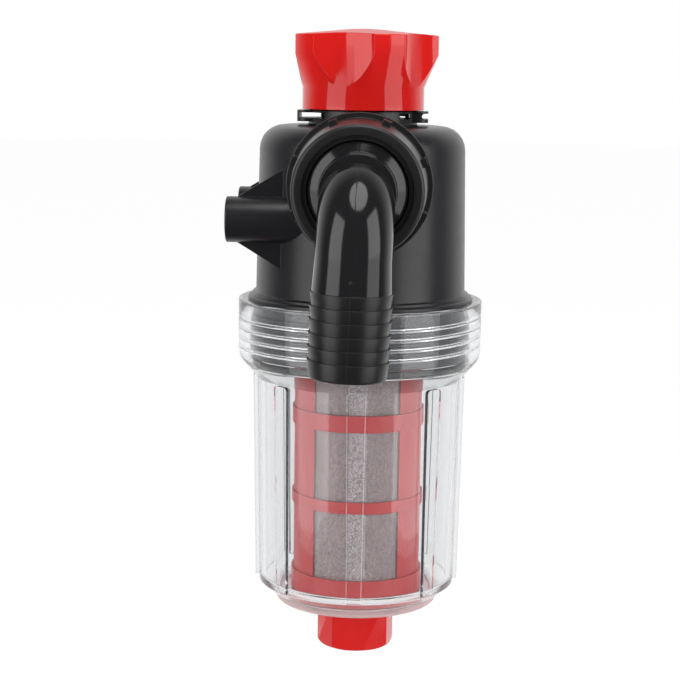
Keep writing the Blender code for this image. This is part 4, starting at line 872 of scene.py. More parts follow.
def head_inside():
    """Inside of the head: valve chamber, cartridge seat and clean side."""
    over = NECK_TOP + OVERSHOOT
    under = SPIGOT_BASE - OVERSHOOT
    chamber_out = CHAMBER_RADIUS + CHAMBER_WALL
    seat_top = SEAT_Z + SEAT_THICKNESS
    spigot_in = SPIGOT_RADIUS - SPIGOT_WALL
    return [(0.0, over), (CHAMBER_RADIUS, over), (CHAMBER_RADIUS, SEAT_Z), (SEAT_RADIUS, SEAT_Z),
            (SEAT_RADIUS, seat_top), (chamber_out, seat_top + SEAT_RADIUS - chamber_out),
            (chamber_out, ROOF_BASE), (HEAD_TOP_RADIUS - HEAD_FILLET, ROOF_BASE),
            (HEAD_TOP_RADIUS - HEAD_WALL, HEAD_TOP - HEAD_FILLET),
            (HEAD_BASE_RADIUS - HEAD_WALL, FLANGE_TOP), (spigot_in, FLANGE_BASE),
            (spigot_in, under), (0.0, under)]


def add_bosses(head):
    """Bracket bosses with their gussets."""
    for side in (-1, 1):
        boss = turned(f"boss_{side}", rounded([
            (0.0, -BOSS_FACE_X, 0.0), (BOSS_RADIUS, -BOSS_FACE_X, 0.0008),
            (BOSS_RADIUS, BOSS_ROOT, 0.0), (0.0, BOSS_ROOT, 0.0)]), SMALL_STEPS)
        join(head, face_bracket(boss, side))
        wall_x = -math.sqrt(HEAD_TOP_RADIUS ** 2 - BOSS_SPREAD ** 2) + HEAD_WALL / 2
        tip_x = BOSS_FACE_X + GUSSET_TIP_SETBACK
        for sign in (-1.0, 1.0):
            web = plate(f"gusset_{side}_{sign:.0f}", [
                (tip_x, sign * BOSS_RADIUS / 2), (wall_x, sign * BOSS_RADIUS / 2),
                (wall_x, sign * (BOSS_RADIUS + GUSSET_RISE)),
                (tip_x, sign * (BOSS_RADIUS - GUSSET_TIP_SINK))], GUSSET_THICKNESS)
            web.location = (0.0, side * BOSS_SPREAD, BOSS_Z)
            web.rotation_euler = (math.pi / 2, 0.0, 0.0)
            join(head, web)


def add_ports(head):
    """Port stubs outside the wall."""
    for side in (-1, 1):
        stub = turned(f"stub_{side}", rounded([
            (0.0, PORT_FACE, 0.0), (PORT_THREAD_RADIUS, PORT_FACE, 0.0006),
            (PORT_THREAD_RADIUS, PORT_BOSS_FACE, 0.0004), (PORT_BOSS_RADIUS, PORT_BOSS_FACE, 0.0006),
            (PORT_BOSS_RADIUS, PORT_BOSS_ROOT, 0.0), (0.0, PORT_BOSS_ROOT, 0.0)]))
        join(head, face_port(stub, side))


def add_ears(head):
    """Ears of the neck: a bar with rounded corners, seen from above."""
    x = EAR_REACH - EAR_CORNER
    y = EAR_HALF_DEPTH - EAR_CORNER
    outline = []
    for centre, start in (((x, y), 0.0), ((-x, y), 90.0), ((-x, -y), 180.0), ((x, -y), 270.0)):
        outline += arc(centre, EAR_CORNER, start, start + 90.0, EAR_STEPS)
    ears = plate("ears", outline, EAR_HEIGHT)
    ears.location = (0.0, 0.0, EAR_BASE + EAR_HEIGHT / 2)
    join(head, ears)


def bore_ports(head):
    """Inlet duct across the clean side, and the bores of both ports."""
    duct = turned("inlet_duct", rod(PORT_BORE_RADIUS + PORT_DUCT_WALL, CHAMBER_RADIUS + CHAMBER_WALL / 2,
                                    HEAD_TOP_RADIUS - HEAD_WALL / 2), SMALL_STEPS)
    join(head, face_port(duct, -1))
    mouth = PORT_FACE + OVERSHOOT
    floor = PORT_FACE - PORT_SOCKET_DEPTH
    outlet_start = CHAMBER_RADIUS + CHAMBER_WALL + OUTLET_BORE_SETBACK
    for side, start in ((-1, CHAMBER_RADIUS - CHAMBER_WALL), (1, outlet_start)):
        bore = turned(f"bore_{side}", [
            (0.0, mouth), (PORT_SOCKET_RADIUS, mouth), (PORT_SOCKET_RADIUS, floor), (PORT_BORE_RADIUS, floor),
            (PORT_BORE_RADIUS, start), (0.0, start)], SMALL_STEPS)
        cut(head, face_port(bore, side))


def cut_fork_slots(head):
    """Slots for the fork's legs, and the notch in the closed ear."""
    depth = 2 * NECK_RADIUS
    slot_top = SLOT_BASE + SLOT_HEIGHT
    cut(head, box("slot_open_ear", (EAR_LIP - EAR_REACH, -depth, SLOT_BASE),
                  (-GROOVE_RADIUS + GAP, depth, slot_top)))
    leg_room = GROOVE_RADIUS + FORK_SPRING_ROOM + 2 * GAP + FORK_LEG_WIDTH
    cut(head, box("slot_closed_ear", (GROOVE_RADIUS - GAP, -depth, SLOT_BASE), (leg_room, depth, slot_top)))
    floor_x = EAR_REACH - NOTCH_DEPTH + NOTCH_RADIUS
    middle = SLOT_BASE + SLOT_HEIGHT / 2
    mouth_x = EAR_REACH + OVERSHOOT
    outline = (arc((floor_x, middle), NOTCH_RADIUS, 270.0, 90.0, NOTCH_STEPS)
               + [(mouth_x, middle + NOTCH_RADIUS), (mouth_x, middle - NOTCH_RADIUS)])
    notch = plate("ear_notch", outline, 4 * EAR_HALF_DEPTH)
    notch.rotation_euler = (math.pi / 2, 0.0, 0.0)
    cut(head, notch)


def cut_insert_holes(head):
    """Blind holes for the brass inserts."""
    end = -BOSS_FACE_X - INSERT_LENGTH - INSERT_RECESS - 2 * GAP
    profile = rod(INSERT_RADIUS + GAP, end, -BOSS_FACE_X + OVERSHOOT)
    for side in (-1, 1):
        hole = turned(f"insert_hole_{side}", profile, TINY_STEPS)
        cut(head, face_bracket(hole, side))


def make_head():
    """Head housing in one moulding."""
    head = turned("head_fine", head_outside())
    add_bosses(head)
    add_ports(head)
    add_ears(head)
    cut(head, turned("head_cavity", head_inside()))
    bore_ports(head)
    cut_fork_slots(head)
    cut_insert_holes(head)
    join(head, helix("spigot_thread", SPIGOT_RADIUS - THREAD_ROOTED, SPIGOT_RADIUS + THREAD_DEPTH,
                     SPIGOT_BASE + THREAD_ROOT_WIDTH, SPIGOT_THREAD_TURNS))
    finish_piece(head, "head", "head_housing")


def make_inserts():
    """Brass inserts in the bracket bosses."""
    outer = -BOSS_FACE_X - INSERT_RECESS
    inner = outer - INSERT_LENGTH
    for label, side, _ in PORTS:
        insert = turned(f"insert_{label}_fine", rounded([
            (INSERT_RADIUS, outer, 0.0003), (INSERT_RADIUS, inner, 0.0), (INSERT_BORE_RADIUS, inner, 0.0),
            (INSERT_BORE_RADIUS, outer, 0.0005)], closed=True), TINY_STEPS, closed=True)
        finish_piece(face_bracket(insert, side), "brass", f"boss_insert_{label}")


def make_fork():
    """U-shaped fork in the neck's slots."""
    left_in = -GROOVE_RADIUS
    right_in = GROOVE_RADIUS + FORK_SPRING_ROOM + GAP
    bridge_in = NECK_RADIUS + FORK_BRIDGE_GAP
    bridge_out = bridge_in + FORK_BRIDGE_WIDTH
    outline = [(left_in - FORK_LEG_WIDTH, bridge_out), (left_in - FORK_LEG_WIDTH, -FORK_TIP_REACH),
               (left_in, -FORK_TIP_REACH), (left_in, bridge_in), (right_in, bridge_in),
               (right_in, -FORK_TIP_REACH), (right_in + FORK_LEG_WIDTH, -FORK_TIP_REACH),
               (right_in + FORK_LEG_WIDTH, bridge_out)]
    fork = plate("fork_fine", outline, FORK_THICKNESS)
    fork.location = (0.0, 0.0, FORK_BASE + FORK_THICKNESS / 2)
    finish_piece(fork, "nut", "retaining_fork")


# Knob

def make_knob():
    """Five-lobed knob, hollow below."""
    edge = arc((KNOB_LOBE_RADIUS - KNOB_EDGE, KNOB_RIM - KNOB_EDGE), KNOB_EDGE, 90.0, 0.0, 4)
    knob = turned("knob_fine", [
        (0.0, KNOB_CROWN - CAP_RECESS), (CAP_RADIUS + GAP, KNOB_CROWN - CAP_RECESS),
        (CAP_RADIUS + GAP, KNOB_CROWN)] + edge + [
        (KNOB_LOBE_RADIUS, KNOB_LOBE_BASE), (KNOB_BASE_RADIUS, KNOB_CONE_BASE),
        (KNOB_BASE_RADIUS, KNOB_BASE), (0.0, KNOB_BASE)])
    reach = FLUTE_FLOOR_RADIUS + FLUTE_RADIUS
    profile = rod(FLUTE_RADIUS, KNOB_BASE - OVERSHOOT, KNOB_CROWN + OVERSHOOT)
    for index in range(KNOB_LOBES):
        angle = math.radians(-90.0 + KNOB_TURN_DEG + 360.0 * (index + 0.5) / KNOB_LOBES)
        flute = turned(f"flute_{index}", profile, FLUTE_STEPS)
        flute.location = (reach * math.cos(angle), reach * math.sin(angle), 0.0)
        cut(knob, flute)
    hollow = washer(KNOB_HUB_RADIUS, KNOB_BASE_RADIUS - KNOB_WALL, KNOB_BASE - OVERSHOOT, KNOB_CEILING)
    cut(knob, turned("knob_hollow", hollow, SMALL_STEPS, closed=True))
    half = SPINDLE_SQUARE / 2 + GAP
    cut(knob, box("knob_square", (-half, -half, KNOB_BASE - OVERSHOOT),
                  (half, half, KNOB_BASE + SPINDLE_KNOB_LENGTH + GAP)))
    well_floor = KNOB_CROWN - SCREW_WELL_DEPTH - SCREW_HEAD_HEIGHT
    cut(knob, turned("knob_screw_well", [
        (0.0, KNOB_CROWN), (SCREW_HEAD_RADIUS + GAP, KNOB_CROWN), (SCREW_HEAD_RADIUS + GAP, well_floor),
        (SCREW_RADIUS + GAP, well_floor), (SCREW_RADIUS + GAP, KNOB_BASE + SPINDLE_KNOB_LENGTH / 2),
        (0.0, KNOB_BASE + SPINDLE_KNOB_LENGTH / 2)], TINY_STEPS))
    finish_piece(knob, "knob", "shutoff_knob")


def make_cap():
    """Domed cap in the knob's crown."""
    base = KNOB_CROWN - CAP_RECESS + GAP
    top = base + CAP_THICKNESS
    shares = [index / CAP_STEPS for index in range(CAP_STEPS + 1)]
    dome = [(CAP_RADIUS * share * CAP_DOME_SHARE, top - CAP_CROWN * share ** 2) for share in shares]
    rim = [(CAP_RADIUS, top - CAP_CROWN - CAP_EDGE), (CAP_RADIUS, base), (0.0, base)]
    finish_piece(turned("cap_fine", dome + rim, SMALL_STEPS), "knob", "knob_cap")


# Ports

def make_nut(label, side):
    """Ring nut with a rear rim and grip ribs."""
    bore = PORT_THREAD_RADIUS + RUNNING_GAP
    rim_front = NUT_BACK + NUT_RIM_WIDTH
    nut = turned(f"{label}_nut_fine", rounded([
        (NUT_FRONT_RADIUS, NUT_FRONT, NUT_FRONT_ROUND), (NUT_BARREL_RADIUS, rim_front, 0.0004),
        (NUT_RIM_RADIUS, rim_front, 0.0005), (NUT_RIM_RADIUS, NUT_BACK, 0.0005), (bore, NUT_BACK, 0.0003),
        (bore, NUT_LIP_BACK, 0.0), (NUT_MOUTH_RADIUS, NUT_LIP_BACK, 0.0003),
        (NUT_MOUTH_RADIUS, NUT_FRONT - NUT_MOUTH_CHAMFER, 0.0002),
        (NUT_FACE_RADIUS, NUT_FRONT - NUT_MOUTH_CHAMFER, 0.0), (NUT_FACE_RADIUS, NUT_FRONT, 0.0005)],
        closed=True), ROUND_STEPS, closed=True)
    face_port(nut, side)
    shape = bmesh.new()
    low = NUT_BACK + NUT_RIM_WIDTH / 2
    high = NUT_FRONT - NUT_RIB_SETBACK
    inner = NUT_FRONT_RADIUS - NUT_RIB_ROOT
    for index in range(NUT_RIB_COUNT):
        block = bmesh.ops.create_cube(shape, size=1.0)["verts"]
        bmesh.ops.scale(shape, vec=(NUT_RIB_RADIUS - inner, NUT_RIB_WIDTH, high - low), verts=block)
        bmesh.ops.translate(shape, vec=((NUT_RIB_RADIUS + inner) / 2, 0.0, (high + low) / 2), verts=block)
        rotate(shape, block, math.radians(NUT_RIB_TURN_DEG + 360.0 * index / NUT_RIB_COUNT), "Z")
    join(nut, face_port(new_object(f"{label}_nut_ribs", mesh_from(f"{label}_nut_ribs", shape)), side))
    finish_piece(nut, "nut", f"{label}_ring_nut")


def bend_route(start, radius):
    """Centre line out of the port and round the bend, in the port's coordinates."""
    route = [((0.0, 0.0, start), radius)]
    for down, out in arc((-ELBOW_BEND_RADIUS, BEND_START), ELBOW_BEND_RADIUS, 0.0, 90.0, BEND_SEGMENTS):
        route.append(((0.0, down, out), radius))
    return route


def make_elbow(label, side, turn_deg):
    """Barbed elbow with its nose, flange and cone."""
    nose_tip = ELBOW_FLANGE_BACK - NOSE_LENGTH
    seal = ELBOW_FLANGE_BACK - NOSE_SEAL_SETBACK
    half = NOSE_SEAL_SECTION + NOSE_GROOVE_ROOM
    groove = NOSE_RADIUS - 2 * NOSE_SEAL_SECTION
    cone_low = ELBOW_FLANGE_FRONT + ELBOW_CONE_START
    elbow = turned(f"{label}_elbow_fine", rounded([
        (0.0, ELBOW_COLLAR_END, 0.0), (ELBOW_COLLAR_RADIUS, ELBOW_COLLAR_END, 0.0006),
        (ELBOW_COLLAR_RADIUS, cone_low + ELBOW_CONE_LENGTH, 0.0008), (ELBOW_CONE_RADIUS, cone_low, 0.0004),
        (ELBOW_CONE_RADIUS, ELBOW_FLANGE_FRONT, 0.0003), (ELBOW_FLANGE_RADIUS, ELBOW_FLANGE_FRONT, 0.0004),
        (ELBOW_FLANGE_RADIUS, ELBOW_FLANGE_BACK, 0.0004), (NOSE_RADIUS, ELBOW_FLANGE_BACK, 0.0002),
        (NOSE_RADIUS, seal + half, 0.0), (groove, seal + half, 0.0), (groove, seal - half, 0.0),
        (NOSE_RADIUS, seal - half, 0.0), (NOSE_RADIUS, nose_tip, 0.0008), (0.0, nose_tip, 0.0)]), SMALL_STEPS)
    face_port(elbow, side, turn_deg)
    route = bend_route(ELBOW_FLANGE_BACK + GAP, ELBOW_TUBE_RADIUS)
    first = -ELBOW_BEND_RADIUS - TAIL_NECK_LENGTH
    sections = [(first + BARB_EDGE, TAIL_NECK_RADIUS)]
    for index in range(BARB_COUNT):
        crest = first - index * BARB_PITCH
        sections += [(crest, BARB_CREST_RADIUS), (crest - BARB_LAND, BARB_CREST_RADIUS)]
        if index < BARB_COUNT - 1:
            sections.append((crest - BARB_PITCH + BARB_EDGE, BARB_ROOT_RADIUS))
    tip = first - (BARB_COUNT - 1) * BARB_PITCH - TAIL_TIP_LENGTH
    sections += [(tip + TAIL_TIP_ROUND - down, BARB_ROOT_RADIUS - TAIL_TIP_ROUND + out)
                 for out, down in arc((0.0, 0.0), TAIL_TIP_ROUND, 0.0, 90.0, FILLET_STEPS)]
    route += [((0.0, down, ELBOW_AXIS_REACH), radius) for down, radius in sections]
    join(elbow, face_port(tube(f"{label}_tail", route, SMALL_STEPS), side, turn_deg))
    inside = bend_route(nose_tip - 2 * OVERSHOOT, ELBOW_BORE_RADIUS)
    inside.append(((0.0, tip - 2 * OVERSHOOT, ELBOW_AXIS_REACH), ELBOW_BORE_RADIUS))
    cut(elbow, face_port(tube(f"{label}_bore", inside, SMALL_STEPS), side, turn_deg))
    finish_piece(elbow, "elbow", f"{label}_elbow")


# Bowl

def bowl_profile():
    """Bowl with its collar, floor and drain boss, with moulded radii."""
    mouth = FLANGE_RADIUS + 2 * GAP
    mouth_floor = COLLAR_TOP - COLLAR_MOUTH_DEPTH
    base = BOWL_BASE + BOWL_BASE_RISE
    foot_top = BOWL_BASE + BOWL_FOOT_HEIGHT
    hole = PLUG_STEM_RADIUS + GAP
    boss = hole + DRAIN_BOSS_WALL
    floor_reach = BOWL_FOOT_RADIUS - BOWL_WALL
    return rounded([
        (COLLAR_RADIUS, COLLAR_TOP, COLLAR_LIP), (COLLAR_RADIUS, COLLAR_BASE, 0.0100),
        (BOWL_TOP_RADIUS, BOWL_SHOULDER, 0.0010), (BOWL_BASE_RADIUS, base, 0.0010),
        (BOWL_FOOT_RADIUS + BOWL_FOOT_SLOPE_WIDTH, foot_top + BOWL_FOOT_SLOPE_RISE, 0.0015),
        (BOWL_FOOT_RADIUS, foot_top, 0.0006), (BOWL_FOOT_RADIUS, BOWL_BASE, 0.0010),
        (hole, BOWL_BASE, 0.0003), (hole, FLOOR_TOP + DRAIN_BOSS_HEIGHT, 0.0003),
        (boss, FLOOR_TOP + DRAIN_BOSS_HEIGHT, 0.0004), (boss, FLOOR_TOP, 0.0010),
        (floor_reach, FLOOR_TOP, 0.0030), (BOWL_BASE_RADIUS - BOWL_WALL, base + BOWL_WALL, 0.0020),
        (BOWL_TOP_RADIUS - BOWL_WALL, BOWL_SHOULDER, 0.0040),
        (COLLAR_BORE_RADIUS - BOWL_LEDGE_WIDTH, LEDGE_TOP, 0.0004), (COLLAR_BORE_RADIUS, LEDGE_TOP, 0.0005),
        (COLLAR_BORE_RADIUS, mouth_floor, 0.0003), (mouth, mouth_floor, 0.0003), (mouth, COLLAR_TOP, 0.0003)],
        closed=True)


def add_ribs(bowl):
    """Ribs round the bowl, with rounded upper corners."""
    height = BOWL_SHOULDER - BOWL_BASE - RIB_BASE_RISE
    draft = math.atan((BOWL_TOP_RADIUS - BOWL_BASE_RADIUS) / height)
    centre = BOWL_BASE_RADIUS + RIB_PROUD - (RIB_PROUD + RIB_ROOT) / 2
    corner_x = RIB_TOP_WIDTH / 2 - RIB_CORNER
    corner_z = height - RIB_CORNER
    outline = ([(-RIB_BASE_WIDTH / 2, 0.0), (RIB_BASE_WIDTH / 2, 0.0)]
               + arc((corner_x, corner_z), RIB_CORNER, 0.0, 90.0, FILLET_STEPS)
               + arc((-corner_x, corner_z), RIB_CORNER, 90.0, 180.0, FILLET_STEPS))
    for index in range(RIB_COUNT):
        rib = plate(f"rib_{index}", outline, RIB_PROUD + RIB_ROOT)
        turn = math.radians(360.0 * index / RIB_COUNT)
        rib.matrix_world = (Matrix.Rotation(turn, 4, "Z")
                            @ Matrix.Translation((0, -centre, BOWL_BASE + RIB_BASE_RISE))
                            @ Matrix.Rotation(math.pi / 2 + draft, 4, "X"))
        join(bowl, rib)


def make_bowl():
    """Clear bowl with its ribs and internal thread."""
    bowl = turned("bowl_fine", bowl_profile(), closed=True)
    add_ribs(bowl)
    join(bowl, helix("collar_thread", COLLAR_BORE_RADIUS + THREAD_ROOTED, COLLAR_BORE_RADIUS - THREAD_DEPTH,
                     SPIGOT_BASE + THREAD_ROOT_WIDTH - THREAD_PITCH / 2, COLLAR_THREAD_TURNS))
    finish_piece(bowl, "clear", "bowl")


def make_bowl_seal():
    """O-ring under the spigot."""
    major = SPIGOT_RADIUS - SPIGOT_WALL / 2 + GAP
    seal = ring("bowl_seal_fine", major, BOWL_SEAL_SECTION, LEDGE_TOP + GAP + BOWL_SEAL_SECTION, ROUND_STEPS)
    finish_piece(seal, "rubber", "bowl_oring")


# Cartridge

def make_frame():
    """Cage of hoops and posts."""
    band_in = CARTRIDGE_RADIUS - CARTRIDGE_BAND
    lip_in = band_in - CARTRIDGE_LIP
    foot_top = CARTRIDGE_BASE + CARTRIDGE_FOOT_HEIGHT
    crown_base = CARTRIDGE_TOP - CARTRIDGE_CROWN_HEIGHT
    post_out = CARTRIDGE_RADIUS - POST_SINK
    outside = [(CARTRIDGE_RADIUS, CARTRIDGE_TOP), (CARTRIDGE_RADIUS, crown_base)]
    levels = [foot_top]
    for rise, height in HOOPS:
        low = CARTRIDGE_BASE + rise
        outside += [(post_out, outside[-1][1]), (post_out, low + height),
                    (CARTRIDGE_RADIUS, low + height), (CARTRIDGE_RADIUS, low)]
        levels += [low, low + height]
    levels.append(crown_base)
    outside += [(post_out, outside[-1][1]), (post_out, foot_top), (CARTRIDGE_RADIUS, foot_top)]
    lip_low = CARTRIDGE_BASE + CARTRIDGE_LIP_HEIGHT
    lip_high = CARTRIDGE_TOP - CARTRIDGE_LIP_HEIGHT
    frame_piece = turned("cartridge_frame_fine", outside + [
        (CARTRIDGE_RADIUS, CARTRIDGE_BASE), (lip_in, CARTRIDGE_BASE), (lip_in, lip_low), (band_in, lip_low),
        (band_in, lip_high), (lip_in, lip_high), (lip_in, CARTRIDGE_TOP)], closed=True)
    levels.sort()
    pitch = 360.0 / POST_COUNT
    for row, (low, high) in enumerate(zip(levels[::2], levels[1::2])):
        for index in range(POST_COUNT):
            start = -90.0 + POST_TURN_DEG + index * pitch + POST_SPREAD_DEG / 2
            end = start + pitch - POST_SPREAD_DEG
            outline = (arc((0, 0), CARTRIDGE_RADIUS * 1.5, start, end, WINDOW_STEPS)
                       + arc((0, 0), CARTRIDGE_RADIUS / 2, end, start, WINDOW_STEPS))
            window = plate(f"window_{row}_{index}", outline, high - low)
            window.location = (0.0, 0.0, (low + high) / 2)
            cut(frame_piece, window)
    finish_piece(frame_piece, "cartridge", "cartridge_frame")


def add_sleeve(name, finish, radius, thickness, start_deg, end_deg, count):
    """A stretch of woven sleeve that is thickened outward, with UVs in wires."""
    low = CARTRIDGE_BASE + CARTRIDGE_LIP_HEIGHT + GAP
    high = CARTRIDGE_TOP - CARTRIDGE_LIP_HEIGHT - GAP
    wide = math.pi * 2 * radius / WIRE_PITCH
    shape = bmesh.new()
    layer = shape.loops.layers.uv.new("wires")
    for index in range(count):
        edges = [start_deg + (end_deg - start_deg) * step / count for step in (index, index + 1)]
        corners = [(edges[0], low), (edges[1], low), (edges[1], high), (edges[0], high)]
        verts = []
        for degrees, height in corners:
            angle = math.radians(degrees - 90.0)
            verts.append(shape.verts.new((radius * math.cos(angle), radius * math.sin(angle), height)))
        face = shape.faces.new(verts)
        for loop, (degrees, height) in zip(face.loops, corners):
            loop[layer].uv = (wide * degrees / 360.0, height / WIRE_PITCH)
    bmesh.ops.remove_doubles(shape, verts=shape.verts, dist=JOIN_DISTANCE)
    sleeve = new_object(name, mesh_from(name, shape))
    thick = sleeve.modifiers.new("thickness", "SOLIDIFY")
    thick.thickness = thickness
    thick.offset = 1.0
    finish_piece(sleeve, finish, "cartridge_mesh")


def make_mesh():
    """Woven sleeve with a lapped seam in front."""
    radius = CARTRIDGE_RADIUS - CARTRIDGE_BAND - GAP - SEAM_LIFT
    add_sleeve("mesh_fine", "weave", radius - MESH_THICKNESS, MESH_THICKNESS, 0.0, 360.0, SLEEVE_STEPS)
    add_sleeve("mesh_seam", "weave_lap", radius, SEAM_LIFT, SEAM_START_DEG, SEAM_END_DEG, SEAM_STEPS)


def make_gaskets():
    """Flat gaskets above and below the cartridge."""
    outer = CARTRIDGE_RADIUS - GAP
    inner = CARTRIDGE_RADIUS - CARTRIDGE_BAND - CARTRIDGE_LIP
    for label, low in (("low", FLOOR_TOP + GAP), ("high", CARTRIDGE_TOP + GAP)):
        corners = [(*corner, 0.0005) for corner in washer(inner, outer, low, low + GASKET_THICKNESS)]
        gasket = turned(f"gasket_{label}_fine", rounded(corners, closed=True), SMALL_STEPS, closed=True)
        finish_piece(gasket, "rubber", f"cartridge_gasket_{label}")


# Drain plug

def make_plug():
    """Octagonal plug with softened corners and a hollow stem."""
    step_deg = 360.0 / PLUG_SIDES
    corners = [(*corner, PLUG_CORNER_ROUND)
               for corner in arc((0.0, 0.0), PLUG_CORNER_RADIUS, 0.0, 360.0 - step_deg, PLUG_SIDES - 1)]
    plug = plate("plug_fine", rounded(corners, closed=True), PLUG_HEAD_HEIGHT)
    plug.location = (0.0, 0.0, PLUG_HEAD_HEIGHT / 2)
    plug.rotation_euler = (0.0, 0.0, math.radians(-90.0 + PLUG_TURN_DEG))
    top = PLUG_HEAD_HEIGHT + PLUG_STEM_LENGTH
    foot = PLUG_CORNER_RADIUS - PLUG_FOOT_ROUND
    rounding = ([(0.0, top), (PLUG_CORNER_RADIUS, top)]
                + arc((foot, PLUG_FOOT_ROUND), PLUG_FOOT_ROUND, 0.0, -90.0, 2 * FILLET_STEPS) + [(0.0, 0.0)])
    change(plug, turned("plug_rounding", rounding, SMALL_STEPS), "INTERSECT")
    stem = rod(PLUG_STEM_RADIUS, PLUG_HEAD_HEIGHT - 2 * OVERSHOOT, top)
    join(plug, turned("plug_stem", stem, SMALL_STEPS))
    half = PLUG_SEAL_SECTION + GAP
    groove = washer(PLUG_SEAL_RADIUS - half, PLUG_SEAL_RADIUS + half,
                    PLUG_HEAD_HEIGHT - 2 * PLUG_SEAL_SECTION - GAP / 2, PLUG_HEAD_HEIGHT + OVERSHOOT)
    cut(plug, turned("plug_seal_groove", groove, SMALL_STEPS, closed=True))
    cut(plug, turned("plug_hollow", rod(PLUG_HOLLOW_RADIUS, PLUG_HOLLOW_FLOOR, top + OVERSHOOT), TINY_STEPS))
    finish_piece(plug, "plug", "drain_plug")
    seal = ring("plug_seal_fine", PLUG_SEAL_RADIUS, PLUG_SEAL_SECTION,
                PLUG_HEAD_HEIGHT - PLUG_SEAL_SECTION + GAP / 4)
    finish_piece(seal, "rubber", "drain_oring")


def dress_inner_nodes():
    """Finishes for the solids that stay as they are, inside the head and knob."""
    finishes = {
        "valve_bonnet": "head", "valve_gate": "head", "valve_spindle": "brass", "knob_screw": "steel",
        "bonnet_oring": "rubber", "spindle_oring": "rubber", "front_nose_oring": "rubber",
        "rear_nose_oring": "rubber",
    }
    for node, finish in finishes.items():
        mesh = frame["nodes"][node].data
        mesh.materials.clear()
        mesh.materials.append(FINISH[finish])


# Studio

def add_camera():
    """Camera at the photograph's viewing angle."""
    azimuth = math.radians(CAMERA_AZIMUTH_DEG)
    pitch = math.radians(CAMERA_PITCH_DEG)
    roll = math.radians(CAMERA_ROLL_DEG)
    side = Vector((math.cos(azimuth), math.sin(azimuth), 0.0))
    level = Vector((-math.sin(azimuth), math.cos(azimuth), 0.0))
    forward = level * math.cos(pitch) - Vector((0.0, 0.0, math.sin(pitch)))
    up = side.cross(forward)
    right = side * math.cos(roll) + up * math.sin(roll)
    top = up * math.cos(roll) - side * math.sin(roll)
    data = bpy.data.cameras.new("camera")
    data.sensor_width = SENSOR_MM
    data.lens = FOCAL_PIXELS / PHOTO_PIXELS * SENSOR_MM
    data.clip_start, data.clip_end = CAMERA_CLIP
    camera = new_object("camera", data)
    place = Vector((0.0, 0.0, CAMERA_HEIGHT)) - level * CAMERA_DISTANCE - side * CAMERA_SHIFT_LEFT
    camera.matrix_world = Matrix.Translation(place) @ Matrix((right, top, -forward)).transposed().to_4x4()
    bpy.context.scene.camera = camera


def add_lamp(name, shape, size, face, radiance):
    """An area lamp with a lit face; radiance is what a mirror would show."""
    data = bpy.data.lights.new(name, "AREA")
    data.shape = shape
    data.size, data.size_y = size
    data.energy = radiance * math.pi * face
    return new_object(name, data)


def add_softboxes():
    """Upright softboxes to both sides that face the object, and one above the front elbow."""
    for side, azimuth_deg, width in SOFTBOX_SIDES:
        angle = math.radians(azimuth_deg)
        for row, height, tall, radiance in SOFTBOX_ROWS:
            light = add_lamp(f"softbox_{side}_{row}", "RECTANGLE", (width, tall), width * tall, radiance)
            place = Vector((math.sin(angle) * SOFTBOX_DISTANCE, -math.cos(angle) * SOFTBOX_DISTANCE, height))
            light.location = place
            aim = Vector((0.0, 0.0, height)) - place
            light.rotation_euler = aim.to_track_quat("-Z", "Y").to_euler()
    width, depth = OVERHEAD_SIZE
    top = add_lamp("softbox_top", "ELLIPSE", OVERHEAD_SIZE, math.pi / 4 * width * depth, OVERHEAD_RADIANCE)
    top.location = OVERHEAD_PLACE


def blend_values(tree, factor, first, second):
    """A number between two by a factor; each is an output or a plain number."""
    node = tree.nodes.new("ShaderNodeMix")
    node.data_type = "FLOAT"
    return fill(tree, node, {"Factor": factor, "A": first, "B": second}).outputs["Result"]


def seen_directly(tree, path):
    """1 for rays from the camera and rays through the clear bowl."""
    return compute(tree, "MAXIMUM", path["Is Camera Ray"], path["Is Transmission Ray"])


def add_world():
    """White surroundings, with a dark quarter where the camera's side of the studio is."""
    world = bpy.data.worlds.new("studio")
    world.use_nodes = True
    bpy.context.scene.world = world
    tree = world.node_tree
    tree.nodes.clear()
    place = tree.nodes.new("ShaderNodeTexCoord").outputs["Generated"]
    surround = tree.nodes.new("ShaderNodeMapRange")
    surround.interpolation_type = "SMOOTHSTEP"
    fill(tree, surround, {
        "Value": along(tree, place, "Y"), "From Min": DARK_QUARTER[0], "From Max": DARK_QUARTER[1],
        "To Min": FRONT_DARK, "To Max": 1.0})
    path = tree.nodes.new("ShaderNodeLightPath").outputs
    ambient = blend_values(tree, path["Is Diffuse Ray"], surround.outputs["Result"], AMBIENT)
    inside = compute(tree, "MULTIPLY", path["Transmission Depth"], FRONT_SEEN_THROUGH)
    inside.node.use_clamp = True
    lifted = compute(tree, "MAXIMUM", inside, ambient)
    strength = blend_values(tree, seen_directly(tree, path), lifted, 1.0)
    background = fill(tree, tree.nodes.new("ShaderNodeBackground"),
                      {"Color": (1.0, 1.0, 1.0, 1.0), "Strength": strength})
    output = tree.nodes.new("ShaderNodeOutputWorld")
    tree.links.new(background.outputs["Background"], output.inputs["Surface"])


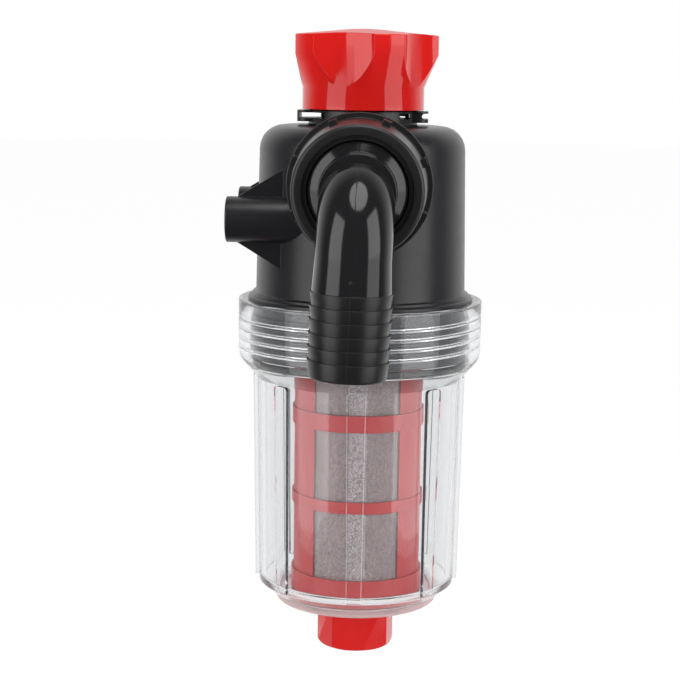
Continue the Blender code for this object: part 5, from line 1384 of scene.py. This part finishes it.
def floor_material():
    """Pale and matt: white to the camera, with a soft shadow, and not seen in gloss."""
    material, tree, shader = shader_tree("floor")
    fill(tree, shader, {"Base Color": FLOOR_COLOUR, "Roughness": FLOOR_ROUGHNESS, "Specular IOR Level": 0.0})
    glow = tree.nodes.new("ShaderNodeEmission")
    glow.inputs["Strength"].default_value = FLOOR_GLOW
    path = tree.nodes.new("ShaderNodeLightPath").outputs
    share = compute(tree, "MULTIPLY", seen_directly(tree, path), FLOOR_GLOW_SHARE)
    lit = mixed(tree, share, shader.outputs["BSDF"], glow.outputs["Emission"])
    gone = tree.nodes.new("ShaderNodeBsdfTransparent").outputs["BSDF"]
    show(tree, mixed(tree, path["Is Glossy Ray"], lit, gone))
    return material


def add_floor():
    """Plain floor below the reach of the unscrewed bowl and plug."""
    shape = bmesh.new()
    bmesh.ops.create_circle(shape, cap_ends=True, segments=FLOOR_STEPS, radius=FLOOR_RADIUS)
    floor = new_object("floor", mesh_from("floor", shape))
    floor.location = (0.0, FLOOR_RADIUS - FLOOR_FRONT, -FLOOR_DROP)
    floor.data.materials.append(floor_material())


def add_studio():
    """Camera, floor, world and soft lights."""
    add_camera()
    add_world()
    add_floor()
    add_softboxes()
    bpy.context.scene.view_settings.view_transform = "Standard"


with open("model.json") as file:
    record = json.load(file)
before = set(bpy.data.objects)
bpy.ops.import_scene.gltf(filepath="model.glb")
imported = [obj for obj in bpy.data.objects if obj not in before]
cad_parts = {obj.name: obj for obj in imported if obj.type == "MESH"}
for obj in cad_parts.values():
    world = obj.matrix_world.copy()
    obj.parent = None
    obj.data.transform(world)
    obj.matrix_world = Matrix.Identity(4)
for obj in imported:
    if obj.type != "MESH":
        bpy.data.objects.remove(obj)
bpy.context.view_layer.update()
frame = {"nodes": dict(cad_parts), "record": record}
BODY_OF = {node: body for body, nodes in frame["record"]["behaviour"]["bodies"].items() for node in nodes}
TOOLS = []
FINISH = make_materials()
make_head()
make_inserts()
make_fork()
make_knob()
make_cap()
for port_label, port_side, port_turn in PORTS:
    make_nut(port_label, port_side)
    make_elbow(port_label, port_side, port_turn)
make_bowl()
make_bowl_seal()
make_frame()
make_mesh()
make_gaskets()
make_plug()
dress_inner_nodes()
add_studio()
